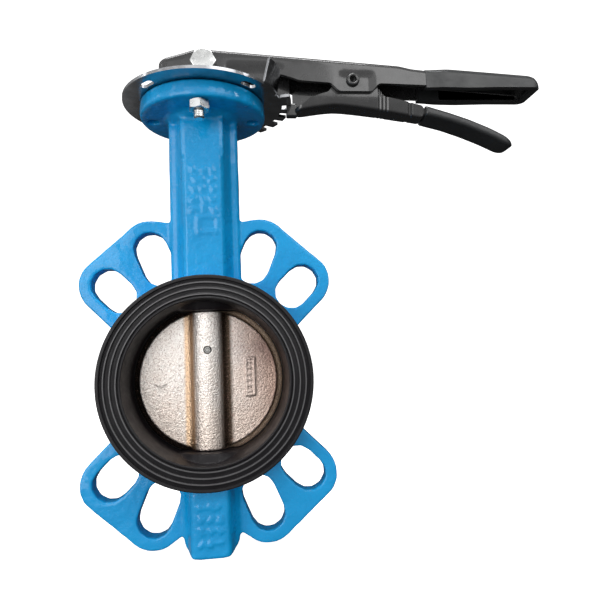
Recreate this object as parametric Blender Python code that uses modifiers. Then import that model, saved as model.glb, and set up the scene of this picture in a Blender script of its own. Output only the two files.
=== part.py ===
"""Wafer butterfly valve, nominal size 80 mm, with a notched hand lever and a squeeze trigger.

Units are metres and +Z is up. The origin is where the bore's axis (Y, the flow) crosses the stem's
axis (Z). The lever points along +X, the disc is shut and the trigger's pawl is just clear of the
position plate. Each object is one physical piece.
"""

import math

import bmesh
import bpy
from mathutils import Matrix, Vector

GAP = 0.0003
# How far a shape reaches into the one it is joined to
EMBED = 0.0020

# Seat and bore
SEAT_FACE_Y = 0.0245
SEAT_OUTER_R = 0.0560
SEAT_LIP = 0.0027
SEAT_MOUTH_R = 0.0435
THROAT_R = 0.0413
THROAT_HALF = 0.0080
HUB_FLAT_Z = 0.0376
HUB_FLAT_R = 0.0170

SEAT_PAD_Z = 0.0430

# Body casting: ring, ears with their bolt slots, neck, bottom hub and actuator flange
RING_INNER_R = 0.0478
RING_OUTER_R = 0.0550
RING_HALF = SEAT_FACE_Y - SEAT_LIP - GAP
EAR_HALF = 0.0050
LOBE_R = 0.0156
SLOT_R = 0.0092
# Each slot's angle from the stem, and how far its two end centres are from the bore's axis
SLOT_BOLTS = ((22.5, 0.0670, 0.0800), (45.0, 0.0670, 0.0760))
EAR_ROOT = (0.0100, 0.0400)
EAR_FOOT = 0.0330
UPPER_EAR_SHOULDER = ((0.0100, 0.0880), (0.0210, 0.0884))
LOWER_EAR_SHOULDER = ((0.0100, 0.0815), (0.0170, 0.0834))
NECK_HALF_X = 0.0193
NECK_FOOT_X = 0.0150
NECK_RIB_X = 0.0105
NECK_RIB_TOP_X = 0.0119
WEB_Y = 0.0070
NECK_RIB_Y = 0.0160
NECK_LOW_Z = 0.0500
NECK_PAD_Z = 0.1230
HUB_HALF_X = 0.0150
HUB_FOOT_X = 0.0130
HUB_RIB_X = 0.0098
HUB_RIB_Y = 0.0150
HUB_BOTTOM_Z = -0.0920
HUB_CORNER_R = 0.0080
CAST_CHAMFER = 0.0015
FLANGE_R = 0.0355
FLANGE_TOP_Z = 0.1570
FLANGE_THICK = 0.0092
FLANGE_FILLET_R = 0.0215
FLANGE_FILLET = 0.0030
FLANGE_EDGE = 0.0010
STEM_BORE_R = 0.0088
STEM_BORE_BOTTOM_Z = -0.0840

# Bushes, seals and retaining ring on the stem, as heights of their ends or middles
LOWER_BUSH = (-0.0800, -0.0610)
MIDDLE_BUSH = (0.0600, 0.0790)
UPPER_BUSH = (0.1330, 0.1520)
RETAINING_RING = (0.1535, 0.1550)
SEAL_HEIGHTS = (0.1250, 0.1295)

# Stem, disc and pin
STEM_R = 0.0063
STEM_BOTTOM_Z = -0.0800
STEM_SQUARE_Z = 0.1600
STEM_TOP_Z = 0.1728
STEM_SQUARE_HALF = 0.0045
DISC_R = 0.0410
DISC_EDGE_HALF = 0.0018
DISC_FACE_R = 0.0373
DISC_FACE_HALF = 0.0045
DISC_BOSS_R = 0.0108
PIN_R = 0.0020
PIN_Z = 0.0164

# Position plate
PLATE_LOW_Z = FLANGE_TOP_Z + GAP
PLATE_THICK = 0.0016
PLATE_R = 0.0450
TOOTH_R = 0.0515
ROOT_R = 0.0460
NOTCHES = 8
NOTCH_PITCH = 90.0 / (NOTCHES - 1)
NOTCH_HALF = 3.4
TOOTH_ARC = (-16.5, 106.5)
STOPS = ((-40.0, -20.0), (110.0, 130.0))
STOP_TOP_Z = 0.1725
STOP_OUTER_R = PLATE_R + 0.0008
STOP_INNER_R = PLATE_R - 0.0017
PLATE_HOLE_R = 0.0090
PLATE_SLOT_HALF_ANGLE = 6
SPARE_SLOT_R = 0.0385
SPARE_SLOT_HALF = 0.0025
SPARE_SLOT_HALF_ANGLE = 5
SPARE_SLOT_ANGLES = (-135, -47, 135)

# M6 bolts, washers and nuts that hold the position plate
PLATE_BOLT_R = 0.0285
M6_R = 0.0030
M6_CLEARANCE_R = 0.0033
M6_HEAD = 0.0040
M6_NUT = 0.0050
M6_ACROSS_FLATS = 0.0100
M6_WASHER_R = 0.0060
M6_WASHER = 0.0012
M6_THREAD_BELOW_NUT = 0.0046
FRONT_NUT_TURN = math.radians(9)

# Lever and trigger
LEVER_HALF = 0.0105
LEVER_WALL = 0.0025
SLEEVE_WALL = 0.0012
SLEEVE_START_X = 0.1303
POCKET_START_X = 0.1200
SLEEVE_MOUTH_TOP_Z = 0.1675
SLEEVE_MOUTH_END_X = 0.1965
SOCKET_X = (-0.0090, 0.0110)
SOCKET_TOP_Z = 0.1812
SOCKET_LOW_Z = 0.1604
PIVOT = Vector((0.0872, 0.0, 0.1697))
RIVET_R = 0.0026
RIVET_BORE_R = 0.0017
RIVET_HEAD_R = 0.0038
RIVET_HEAD = 0.0010
TRIGGER_HALF = 0.0074
TRIGGER_WALL = 0.0018
TRIGGER_RIB_HALF = 0.0012
PAWL_X = (0.0480, 0.0550)
PAWL_LOW_Z = 0.1514
PAWL_HALF = 0.0024
PAWL_TOP_Z = PLATE_LOW_Z - 0.0004
SPRING_WIRE_R = 0.0006
SPRING_HALF = 0.0046
SPRING_TURNS = 4.25
SPRING_GAP = 0.0010
SPRING_UPPER_LEG = (0.0140, 0.0062)
SPRING_LOWER_LEG = (0.0080, -0.0095)

# M8 bolt, washer and nut that clamp the lever on the stem
CLAMP_X = 0.0016
CLAMP_Z = 0.1776
M8_R = 0.0040
M8_HEAD = 0.0053
M8_NUT = 0.0065
M8_ACROSS_FLATS = 0.0130
M8_WASHER_R = 0.0080
M8_WASHER = 0.0016
CLAMP_END_Y = 0.0205
HEX_TURN = math.radians(30)

MATERIALS = {
    "blue_enamel": ((0.02, 0.30, 0.68), 0.28, 0.0),
    "rubber": ((0.02, 0.02, 0.022), 0.55, 0.0),
    "cast_bronze": ((0.70, 0.60, 0.50), 0.45, 0.9),
    "stainless": ((0.62, 0.62, 0.60), 0.30, 1.0),
    "zinc": ((0.72, 0.73, 0.72), 0.35, 1.0),
    "black_paint": ((0.012, 0.012, 0.014), 0.25, 0.0),
    "black_grip": ((0.015, 0.015, 0.017), 0.45, 0.0),
    "bearing_bronze": ((0.60, 0.42, 0.22), 0.40, 0.9),
    "spring_steel": ((0.35, 0.35, 0.36), 0.35, 1.0),
}


def new_collection(name):
    made = bpy.data.collections.new(name)
    bpy.context.scene.collection.children.link(made)
    return made


def make_material(name):
    colour, roughness, metallic = MATERIALS[name]
    made = bpy.data.materials.new(name)
    made.use_nodes = True
    shader = made.node_tree.nodes["Principled BSDF"]
    shader.inputs["Base Color"].default_value = (*colour, 1.0)
    shader.inputs["Roughness"].default_value = roughness
    shader.inputs["Metallic"].default_value = metallic
    return made


def to_object(name, bm):
    """A new object holding this bmesh, in no collection yet."""
    mesh = bpy.data.meshes.new(name)
    bmesh.ops.recalc_face_normals(bm, faces=bm.faces)
    bm.to_mesh(mesh)
    bm.free()
    return bpy.data.objects.new(name, mesh)


AXIS_TURN = {
    "X": Matrix.Rotation(math.radians(90), 4, "Y"),
    "Y": Matrix.Rotation(math.radians(-90), 4, "X"),
    "Z": Matrix.Identity(4),
}


def prism(name, radius, low, high, axis="Z", centre=(0, 0, 0), sides=32, turn=0.0):
    """A cylinder, or with few sides a hexagon or square, from low to high along an axis."""
    bm = bmesh.new()
    place = (
        Matrix.Translation(centre)
        @ AXIS_TURN[axis]
        @ Matrix.Translation((0, 0, (low + high) / 2))
        @ Matrix.Rotation(turn, 4, "Z")
    )
    bmesh.ops.create_cone(
        bm, cap_ends=True, segments=sides, radius1=radius, radius2=radius,
        depth=high - low, matrix=place,
    )
    return to_object(name, bm)


def hexagon(name, across_flats, low, high, axis, centre, turn=0.0):
    return prism(name, across_flats / math.sqrt(3), low, high, axis, centre, 6, turn)


def box(name, low, high):
    bm = bmesh.new()
    low, high = Vector(low), Vector(high)
    size = Matrix.Diagonal((*(high - low), 1.0))
    bmesh.ops.create_cube(bm, size=1.0, matrix=Matrix.Translation((low + high) / 2) @ size)
    return to_object(name, bm)


def turned(name, profile, steps, axis="Z", centre=(0, 0, 0), closed=False):
    """A solid of revolution. The profile's (radius, height) points run down its outer side."""
    bm = bmesh.new()
    points = [bm.verts.new((radius, 0, height)) for radius, height in profile]
    for first, second in zip(points, points[1:]):
        bm.edges.new((first, second))
    if closed:
        bm.edges.new((points[-1], points[0]))
    mesh = bpy.data.meshes.new(name)
    bm.to_mesh(mesh)
    bm.free()
    made = bpy.data.objects.new(name, mesh)
    made.matrix_world = Matrix.Translation(centre) @ AXIS_TURN[axis]
    screw = made.modifiers.new("turn", "SCREW")
    screw.steps = screw.render_steps = steps
    screw.use_merge_vertices = True
    screw.merge_threshold = 0.00001
    return made


def arc(centre, radius, start, end, steps):
    """Points on a circle from one angle to another, in degrees."""
    angles = [math.radians(start + (end - start) * i / steps) for i in range(steps + 1)]
    return [(centre[0] + radius * math.cos(a), centre[1] + radius * math.sin(a)) for a in angles]


def polar(radius, angle):
    return radius * math.cos(math.radians(angle)), radius * math.sin(math.radians(angle))


def slot(start, end, radius, steps=6):
    """A straight slot with round ends between two centres."""
    heading = math.degrees(math.atan2(end[1] - start[1], end[0] - start[0]))
    return arc(end, radius, heading - 90, heading + 90, steps) + arc(
        start, radius, heading + 90, heading + 270, steps
    )


def curved_slot(radius, half_width, start, end, steps=4):
    """A slot with round ends that follows a circle about the origin."""
    return (
        arc((0, 0), radius + half_width, start, end, steps)
        + arc(polar(radius, end), half_width, end, end + 180, steps)[1:-1]
        + arc((0, 0), radius - half_width, end, start, steps)
        + arc(polar(radius, start), half_width, start - 180, start, steps)[1:-1]
    )


def plate(name, outlines, low, high, axis="Z"):
    """A flat piece with its holes, from low to high along Z, or along Y for outlines in X and Z."""
    curve = bpy.data.curves.new(name, "CURVE")
    curve.dimensions = "2D"
    curve.fill_mode = "BOTH"
    curve.extrude = (high - low) / 2
    for outline in outlines:
        spline = curve.splines.new("POLY")
        spline.points.add(len(outline) - 1)
        for point, place in zip(spline.points, outline):
            point.co = (*place, 0, 1)
        spline.use_cyclic_u = True
    guide = bpy.data.objects.new(name, curve)
    bpy.context.scene.collection.objects.link(guide)
    graph = bpy.context.evaluated_depsgraph_get()
    mesh = bpy.data.meshes.new_from_object(guide.evaluated_get(graph))
    bpy.data.objects.remove(guide)
    bm = bmesh.new()
    bm.from_mesh(mesh)
    bmesh.ops.remove_doubles(bm, verts=bm.verts, dist=0.000001)
    middle = (low + high) / 2
    if axis == "Y":
        # The outline's second coordinate becomes Z, and its thickness lies along Y.
        place = Matrix.Translation((0, middle, 0)) @ Matrix.Rotation(math.radians(90), 4, "X")
    else:
        place = Matrix.Translation((0, 0, middle))
    bm.transform(place)
    return to_object(name, bm)


def as_cutter(operand):
    CUTTERS.objects.link(operand)
    operand.hide_render = True
    operand.display_type = "WIRE"


def boolean(target, operation, operands):
    """The solver is MANIFOLD, because EXACT leaves cracks where many pieces of the casting meet."""
    for operand in operands:
        as_cutter(operand)
        step = target.modifiers.new(operation.lower(), "BOOLEAN")
        step.operation = operation
        step.solver = "MANIFOLD"
        step.object = operand
    return target


def join(target, *operands):
    return boolean(target, "UNION", operands)


def cut(target, *operands):
    return boolean(target, "DIFFERENCE", operands)


def finish(obj, material, moved_by=None):
    """Puts a piece in the valve, with its material, and hangs it on its joint's empty."""
    VALVE.objects.link(obj)
    obj.data.materials.clear()
    obj.data.materials.append(SHADES[material])
    obj.data.shade_smooth()
    obj.data.set_sharp_from_angle(angle=math.radians(35))
    if moved_by:
        obj.parent = moved_by
        obj.matrix_parent_inverse = Matrix.Translation(moved_by.location).inverted()
    return obj


def joint_empty(name, location):
    empty = bpy.data.objects.new(name, None)
    empty.location = location
    empty.empty_display_size = 0.02
    VALVE.objects.link(empty)
    return empty


def ear_outline(side, up):
    """One ear, from inside the ring's wall round its two lobes, as (x, z) points."""
    near, far = [polar(slot_end, 90 - angle) for angle, _, slot_end in SLOT_BOLTS]
    normal = math.degrees(math.atan2(far[1] - near[1], far[0] - near[0])) + 90
    shoulder, first = (UPPER_EAR_SHOULDER, 97) if up else (LOWER_EAR_SHOULDER, 118)
    outline = [EAR_ROOT, *shoulder]
    outline += arc(near, LOBE_R, first, normal, 7)
    outline += arc(far, LOBE_R, normal, -45, 10)[1:]
    outline.append((outline[-1][0] - EAR_FOOT, outline[-1][1] - EAR_FOOT))
    return [(side * x, z if up else -z) for x, z in outline]


def ear_slots(side, up):
    made = []
    for angle, inner, outer in SLOT_BOLTS:
        ends = [polar(radius, 90 - angle) for radius in (inner, outer)]
        made.append(slot(*[(side * x, z if up else -z) for x, z in ends], SLOT_R))
    return made


def cross_section(half_x, web_y, foot_x, rib_x, rib_y):
    """A web with a raised rib on each face, its edges chamfered."""
    quarter = [
        (half_x, web_y - CAST_CHAMFER),
        (half_x - CAST_CHAMFER, web_y),
        (foot_x, web_y),
        (rib_x + CAST_CHAMFER / 2, rib_y - CAST_CHAMFER),
        (rib_x - CAST_CHAMFER / 2, rib_y),
    ]
    right = [(x, -y) for x, y in reversed(quarter)] + quarter
    return right + [(-x, -y) for x, y in right]


def neck_solids(flange_low):
    """The neck's ribbed column, and the wider pad on its ribs under the flange."""
    column = plate(
        "neck", [cross_section(NECK_HALF_X, WEB_Y, NECK_FOOT_X, NECK_RIB_X, NECK_RIB_Y)],
        NECK_LOW_Z, flange_low + EMBED,
    )
    pad_y = NECK_RIB_Y - EMBED / 5
    pad = box(
        "neck_pad", (-NECK_RIB_TOP_X, -pad_y, NECK_PAD_Z), (NECK_RIB_TOP_X, pad_y, flange_low + EMBED / 2)
    )
    return column, pad


def flange_solid(flange_low):
    edge_r = FLANGE_R - FLANGE_EDGE
    profile = [
        (0, FLANGE_TOP_Z), (edge_r, FLANGE_TOP_Z), (FLANGE_R, FLANGE_TOP_Z - FLANGE_EDGE),
        (FLANGE_R, flange_low + FLANGE_EDGE), (edge_r, flange_low), (FLANGE_FILLET_R, flange_low),
        (FLANGE_FILLET_R - FLANGE_FILLET, flange_low - FLANGE_FILLET), (0, flange_low - FLANGE_FILLET),
    ]
    return turned("flange", profile, 48)


def hub_solid():
    """The bottom hub: a ribbed block with two rounded lower corners."""
    made = plate(
        "hub", [cross_section(HUB_HALF_X, WEB_Y, HUB_FOOT_X, HUB_RIB_X, HUB_RIB_Y)],
        HUB_BOTTOM_Z - 0.005, -NECK_LOW_Z,
    )
    corner_x, corner_z = HUB_HALF_X - HUB_CORNER_R, HUB_BOTTOM_Z + HUB_CORNER_R
    beyond_x, beyond_z = HUB_HALF_X + 0.005, -NECK_LOW_Z + 0.005
    outline = arc((corner_x, corner_z), HUB_CORNER_R, 0, -90, 5)
    outline += arc((-corner_x, corner_z), HUB_CORNER_R, -90, -180, 5)
    outline += [(-beyond_x, corner_z), (-beyond_x, beyond_z), (beyond_x, beyond_z), (beyond_x, corner_z)]
    half = HUB_RIB_Y + 0.005
    return boolean(made, "INTERSECT", [plate("hub_shape", [outline], -half, half, "Y")])


def body_casting():
    cut_r = RING_INNER_R - 0.003
    ring = turned(
        "body_casting",
        [(RING_OUTER_R, RING_HALF), (RING_OUTER_R, -RING_HALF), (cut_r, -RING_HALF), (cut_r, RING_HALF)],
        64, "Y", closed=True,
    )
    ears = []
    for side in (1, -1):
        for up in (True, False):
            outlines = [ear_outline(side, up), *ear_slots(side, up)]
            ears.append(plate(f"ear_{side}_{up}", outlines, -EAR_HALF, EAR_HALF, "Y"))
    flange_low = FLANGE_TOP_Z - FLANGE_THICK
    beyond = FLANGE_TOP_Z + 0.01
    body = join(ring, *ears, *neck_solids(flange_low), flange_solid(flange_low), hub_solid())
    for turn in range(4):
        centre = (*polar(PLATE_BOLT_R, 90 * turn), 0)
        hole = prism(
            f"flange_hole_{turn}", M6_CLEARANCE_R, flange_low - 0.01, beyond, centre=centre, sides=16
        )
        cut(body, hole)
    cut(
        body,
        prism("bore_cut", RING_INNER_R, -0.04, 0.04, "Y", sides=64),
        prism("upper_stem_cut", STEM_BORE_R, 0.03, beyond),
        prism("lower_stem_cut", STEM_BORE_R, STEM_BORE_BOTTOM_Z, -0.03),
    )
    return finish(body, "blue_enamel")


def seat_liner():
    sleeve_r = RING_INNER_R - GAP
    lip_y = SEAT_FACE_Y - SEAT_LIP
    profile = [
        (SEAT_OUTER_R, SEAT_FACE_Y), (SEAT_OUTER_R, lip_y), (sleeve_r, lip_y), (sleeve_r, -lip_y),
        (SEAT_OUTER_R, -lip_y), (SEAT_OUTER_R, -SEAT_FACE_Y), (SEAT_MOUTH_R, -SEAT_FACE_Y),
        (THROAT_R, -THROAT_HALF), (THROAT_R, THROAT_HALF), (SEAT_MOUTH_R, SEAT_FACE_Y),
    ]
    seat = turned("seat_liner", profile, 64, "Y", closed=True)
    pad_z = HUB_FLAT_Z + GAP
    join(
        seat,
        prism("upper_hub_pad", HUB_FLAT_R, pad_z, SEAT_PAD_Z),
        prism("lower_hub_pad", HUB_FLAT_R, -SEAT_PAD_Z, -pad_z),
    )
    cut(seat, prism("seat_stem_cut", STEM_R + GAP, -0.06, 0.06))
    return finish(seat, "rubber")


def sleeve(name, ends, material):
    """A plain ring between the stem and its bore."""
    low, high = ends
    outer, inner = STEM_BORE_R - GAP, STEM_R + GAP
    profile = [(outer, high), (outer, low), (inner, low), (inner, high)]
    return finish(turned(name, profile, 32, closed=True), material)


def seal_ring(name, height):
    middle = (STEM_BORE_R + STEM_R) / 2
    thick = (STEM_BORE_R - STEM_R) / 2 - GAP
    profile = [(middle + r, z + height) for r, z in arc((0, 0), thick, 90, -225, 7)]
    return finish(turned(name, profile, 24, closed=True), "rubber")


def plate_outline():
    """The plate's rim, with square notches between its teeth."""
    outline = [polar(PLATE_R, TOOTH_ARC[0]), polar(TOOTH_R, TOOTH_ARC[0])]
    for notch in range(NOTCHES):
        low, high = notch * NOTCH_PITCH - NOTCH_HALF, notch * NOTCH_PITCH + NOTCH_HALF
        outline += [polar(TOOTH_R, low), polar(ROOT_R, low), polar(ROOT_R, high), polar(TOOTH_R, high)]
    outline += [polar(TOOTH_R, TOOTH_ARC[1]), polar(PLATE_R, TOOTH_ARC[1])]
    return outline + arc((0, 0), PLATE_R, TOOTH_ARC[1], 360 + TOOTH_ARC[0], 40)[1:-1]


def position_plate():
    holes = [arc((0, 0), PLATE_HOLE_R, 0, 348, 29)]
    for middle in (-90, 90):
        ends = (middle - PLATE_SLOT_HALF_ANGLE, middle + PLATE_SLOT_HALF_ANGLE)
        holes.append(curved_slot(PLATE_BOLT_R, M6_CLEARANCE_R, *ends))
    for middle in SPARE_SLOT_ANGLES:
        ends = (middle - SPARE_SLOT_HALF_ANGLE, middle + SPARE_SLOT_HALF_ANGLE)
        holes.append(curved_slot(SPARE_SLOT_R, SPARE_SLOT_HALF, *ends))
    top = PLATE_LOW_Z + PLATE_THICK
    made = plate("position_plate", [plate_outline(), *holes], PLATE_LOW_Z, top)
    for start, end in STOPS:
        outline = arc((0, 0), STOP_OUTER_R, start, end, 5) + arc((0, 0), STOP_INNER_R, end, start, 5)
        join(made, plate(f"stop_at_{start:.0f}", [outline], top - EMBED / 2, STOP_TOP_Z))
    return finish(made, "zinc")


def plate_fasteners(name, way):
    """The bolt, washer and nut that hold the position plate on one side of the flange."""
    centre = (0, way * PLATE_BOLT_R, 0)
    washer_low = PLATE_LOW_Z + PLATE_THICK + GAP
    washer_top = washer_low + M6_WASHER
    head_low = washer_top + GAP
    nut_top = FLANGE_TOP_Z - FLANGE_THICK - GAP
    nut_low = nut_top - M6_NUT
    washer = [
        (M6_WASHER_R, washer_top), (M6_WASHER_R, washer_low),
        (M6_CLEARANCE_R, washer_low), (M6_CLEARANCE_R, washer_top),
    ]
    finish(turned(f"plate_washer_{name}", washer, 24, "Z", centre, closed=True), "zinc")
    bolt = hexagon(f"plate_bolt_{name}", M6_ACROSS_FLATS, head_low, head_low + M6_HEAD, "Z", centre)
    shank_low = nut_low - M6_THREAD_BELOW_NUT
    join(bolt, prism(f"shank_{name}", M6_R, shank_low, head_low + EMBED / 2, centre=centre, sides=16))
    finish(bolt, "zinc")
    nut = hexagon(f"plate_nut_{name}", M6_ACROSS_FLATS, nut_low, nut_top, "Z", centre, FRONT_NUT_TURN)
    cut(nut, prism(f"nut_hole_{name}", M6_R + GAP, nut_low - 0.01, nut_top + 0.01, centre=centre, sides=16))
    finish(nut, "zinc")


def stem(moved_by):
    made = prism("stem", STEM_R, STEM_BOTTOM_Z, STEM_SQUARE_Z)
    half = STEM_SQUARE_HALF
    join(made, box("stem_square", (-half, -half, STEM_SQUARE_Z - EMBED), (half, half, STEM_TOP_Z)))
    cut(made, prism("stem_pin_cut", PIN_R + GAP, -0.02, 0.02, "Y", (0, 0, PIN_Z), 16))
    return finish(made, "stainless", moved_by)


def disc(moved_by):
    made = turned(
        "disc",
        [(0, DISC_FACE_HALF), (DISC_FACE_R, DISC_FACE_HALF), (DISC_R, DISC_EDGE_HALF),
         (DISC_R, -DISC_EDGE_HALF), (DISC_FACE_R, -DISC_FACE_HALF), (0, -DISC_FACE_HALF)],
        64, "Y",
    )
    reach = HUB_FLAT_Z + 0.004
    join(made, prism("disc_boss", DISC_BOSS_R, -reach, reach, sides=40))
    wide = 0.05
    cut(
        made,
        box("top_flat", (-wide, -wide, HUB_FLAT_Z), (wide, wide, wide + HUB_FLAT_Z)),
        box("bottom_flat", (-wide, -wide, -wide - HUB_FLAT_Z), (wide, wide, -HUB_FLAT_Z)),
        prism("disc_stem_cut", STEM_R + GAP, -0.05, 0.05),
        prism("disc_pin_cut", PIN_R + GAP, -0.02, 0.02, "Y", (0, 0, PIN_Z), 16),
    )
    return finish(made, "cast_bronze", moved_by)


def disc_pin(moved_by):
    half = DISC_BOSS_R + 0.0002
    return finish(prism("disc_pin", PIN_R, -half, half, "Y", (0, 0, PIN_Z), 16), "stainless", moved_by)


# Side views as (x, z) points, each from left to right.
LEVER_TOP = [
    (-0.0243, 0.1810), (-0.0115, 0.1848), (-0.0030, 0.1876), (0.0070, 0.1872), (0.1150, 0.1792),
    (0.1225, 0.1775), (0.1302, 0.1767), (0.1304, 0.1754), (0.1450, 0.1755), (0.1640, 0.1743),
    (0.1827, 0.1730), (0.1950, 0.1721), (0.1995, 0.1692),
]
LEVER_UNDER = [
    (-0.0243, 0.1765), (-0.0215, 0.1728), (-0.0150, 0.1690), (0.0330, 0.1690), (0.0400, 0.1728),
    (0.0450, 0.1728), (0.0560, 0.1690), (0.0742, 0.1677), (0.0785, 0.1632), (0.0985, 0.1632),
    (0.1025, 0.1677), (0.1302, 0.1668), (0.1450, 0.1666), (0.1995, 0.1670),
]
LEVER_HOLLOW_TOP = [
    (-0.0215, 0.1785), (-0.0115, 0.1821), (-0.0030, 0.1850), (0.0070, 0.1847), (0.1150, 0.1767),
    (0.1225, 0.1750), (0.1302, 0.1730), (0.1450, 0.1730), (0.1640, 0.1718), (0.1970, 0.1696),
]
SLEEVE_TOP = [
    (0.1308, 0.1771), (0.1450, 0.1771), (0.1640, 0.1758), (0.1827, 0.1745), (0.1950, 0.1736),
    (0.1992, 0.1718), (0.2013, 0.1680),
]
SLEEVE_UNDER = [(0.1308, 0.1653), (0.1450, 0.1650), (0.1560, 0.1648), (0.1760, 0.1654), (0.2013, 0.1655)]
TRIGGER_TOP = [
    (0.0530, 0.1550), (0.0571, 0.1562), (0.0620, 0.1602), (0.0680, 0.1624), (0.0732, 0.1640),
    (0.0800, 0.1735), (0.0940, 0.1735), (0.1025, 0.1671), (0.1058, 0.1614), (0.1200, 0.1584),
    (0.1300, 0.1560), (0.1304, 0.1531), (0.1450, 0.1496), (0.1570, 0.1455), (0.1690, 0.1406),
    (0.1770, 0.1366),
]
TRIGGER_UNDER = [
    (0.0530, 0.1532), (0.0580, 0.1535), (0.0640, 0.1545), (0.0700, 0.1554), (0.0760, 0.1560),
    (0.0820, 0.1558), (0.0910, 0.1548), (0.1030, 0.1532), (0.1150, 0.1513), (0.1300, 0.1490),
    (0.1304, 0.1513), (0.1450, 0.1478), (0.1570, 0.1437), (0.1690, 0.1388), (0.1770, 0.1348),
]
TRIGGER_RIB = [(0.0522, 0.1545), (0.0522, 0.1654), (0.0540, 0.1668), (0.0780, 0.1668), (0.0780, 0.1570)]
TRIGGER_SLEEVE_TOP = [
    (0.1308, 0.1556), (0.1450, 0.1514), (0.1570, 0.1473), (0.1690, 0.1423), (0.1780, 0.1377),
    (0.1832, 0.1343), (0.1845, 0.1325),
]
TRIGGER_SLEEVE_UNDER = [
    (0.1308, 0.1496), (0.1450, 0.1459), (0.1570, 0.1417), (0.1690, 0.1368), (0.1790, 0.1320),
    (0.1835, 0.1310),
]


def side_view(top, under, grow=0.0):
    """A closed outline from its top and its underside, moved outwards by grow."""
    return [(x, z + grow) for x, z in top] + [(x, z - grow) for x, z in reversed(under)]


def cross_hole(name, radius, centre):
    return prism(name, radius, -0.03, 0.03, "Y", centre, 20)


def sleeve_pocket(name, top, under, start, half):
    """The room in a sleeve for the end of an arm, open at the arm's side, with a gap all round."""
    inside = [start[0], *[(x, z) for x, z in top if x > SLEEVE_START_X]]
    below = [start[1], *[(x, z) for x, z in under if x > SLEEVE_START_X]]
    outline = side_view(inside, below, GAP)
    end = max(x for x, z in outline)
    outline = [(x + GAP if x == end else x, z) for x, z in outline]
    return plate(name, [outline], -half - GAP, half + GAP, "Y")


def lever(moved_by):
    """A pressed channel, open below, with a hole for the clamp bolt and one for the trigger's rivet."""
    made = plate("lever", [side_view(LEVER_TOP, LEVER_UNDER)], -LEVER_HALF, LEVER_HALF, "Y")
    inner = LEVER_HALF - LEVER_WALL
    below = 0.1500
    hollow = [*LEVER_HOLLOW_TOP, (LEVER_HOLLOW_TOP[-1][0], below), (LEVER_HOLLOW_TOP[0][0], below)]
    cut(
        made,
        plate("lever_hollow", [hollow], -inner, inner, "Y"),
        cross_hole("lever_clamp_cut", M8_R + GAP, (CLAMP_X, 0, CLAMP_Z)),
        cross_hole("lever_rivet_cut", RIVET_R + GAP, PIVOT),
    )
    return finish(made, "black_paint", moved_by)


def lever_grip(moved_by):
    half = LEVER_HALF + GAP + SLEEVE_WALL
    made = plate("lever_grip", [side_view(SLEEVE_TOP, SLEEVE_UNDER)], -half, half, "Y")
    mouth = LEVER_HALF - LEVER_WALL - GAP
    start = ((POCKET_START_X, 0.1754), (POCKET_START_X, 0.1668))
    low = (POCKET_START_X, -mouth, 0.1600)
    cut(
        made,
        sleeve_pocket("lever_grip_pocket", LEVER_TOP, LEVER_UNDER, start, LEVER_HALF),
        box("lever_grip_mouth", low, (SLEEVE_MOUTH_END_X, mouth, SLEEVE_MOUTH_TOP_Z)),
    )
    return finish(made, "black_grip", moved_by)


def lever_socket(moved_by):
    """The block inside the lever's head: square hole on the stem, with room for the clamp bolt above."""
    half = LEVER_HALF - LEVER_WALL - GAP
    hole = STEM_SQUARE_HALF + GAP
    made = box("lever_socket", (SOCKET_X[0], -half, SOCKET_LOW_Z), (SOCKET_X[1], half, SOCKET_TOP_Z))
    cut(
        made,
        box("socket_square", (-hole, -hole, SOCKET_LOW_Z - 0.01), (hole, hole, SOCKET_TOP_Z + 0.01)),
        cross_hole("socket_clamp_cut", M8_R + GAP, (CLAMP_X, 0, CLAMP_Z)),
    )
    return finish(made, "black_paint", moved_by)


def clamp_fasteners(moved_by):
    """The bolt across the lever's head, with its washer and nut on the far side."""
    centre = (CLAMP_X, 0, CLAMP_Z)
    face = LEVER_HALF + GAP
    bolt = hexagon("clamp_bolt", M8_ACROSS_FLATS, -face - M8_HEAD, -face, "Y", centre, HEX_TURN)
    join(bolt, prism("clamp_shank", M8_R, -face - EMBED / 2, CLAMP_END_Y, "Y", centre, 20))
    finish(bolt, "zinc", moved_by)
    inner = M8_R + GAP
    washer_top = face + M8_WASHER
    washer = [(M8_WASHER_R, washer_top), (M8_WASHER_R, face), (inner, face), (inner, washer_top)]
    finish(turned("clamp_washer", washer, 24, "Y", centre, closed=True), "zinc", moved_by)
    nut_start = washer_top + GAP
    nut = hexagon("clamp_nut", M8_ACROSS_FLATS, nut_start, nut_start + M8_NUT, "Y", centre, HEX_TURN)
    cut(nut, cross_hole("clamp_nut_cut", inner, centre))
    finish(nut, "zinc", moved_by)


def pivot_rivet(moved_by):
    """A hollow rivet whose two rolled heads hold the trigger between the lever's cheeks."""
    face = LEVER_HALF + GAP
    top = face + RIVET_HEAD
    edge = RIVET_HEAD / 2
    near = [(RIVET_BORE_R, top), (RIVET_HEAD_R - edge, top), (RIVET_HEAD_R, top - edge),
            (RIVET_HEAD_R, face), (RIVET_R, face)]
    profile = near + [(radius, -along) for radius, along in reversed(near)]
    return finish(turned("pivot_rivet", profile, 24, "Y", PIVOT, closed=True), "black_paint", moved_by)


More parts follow.
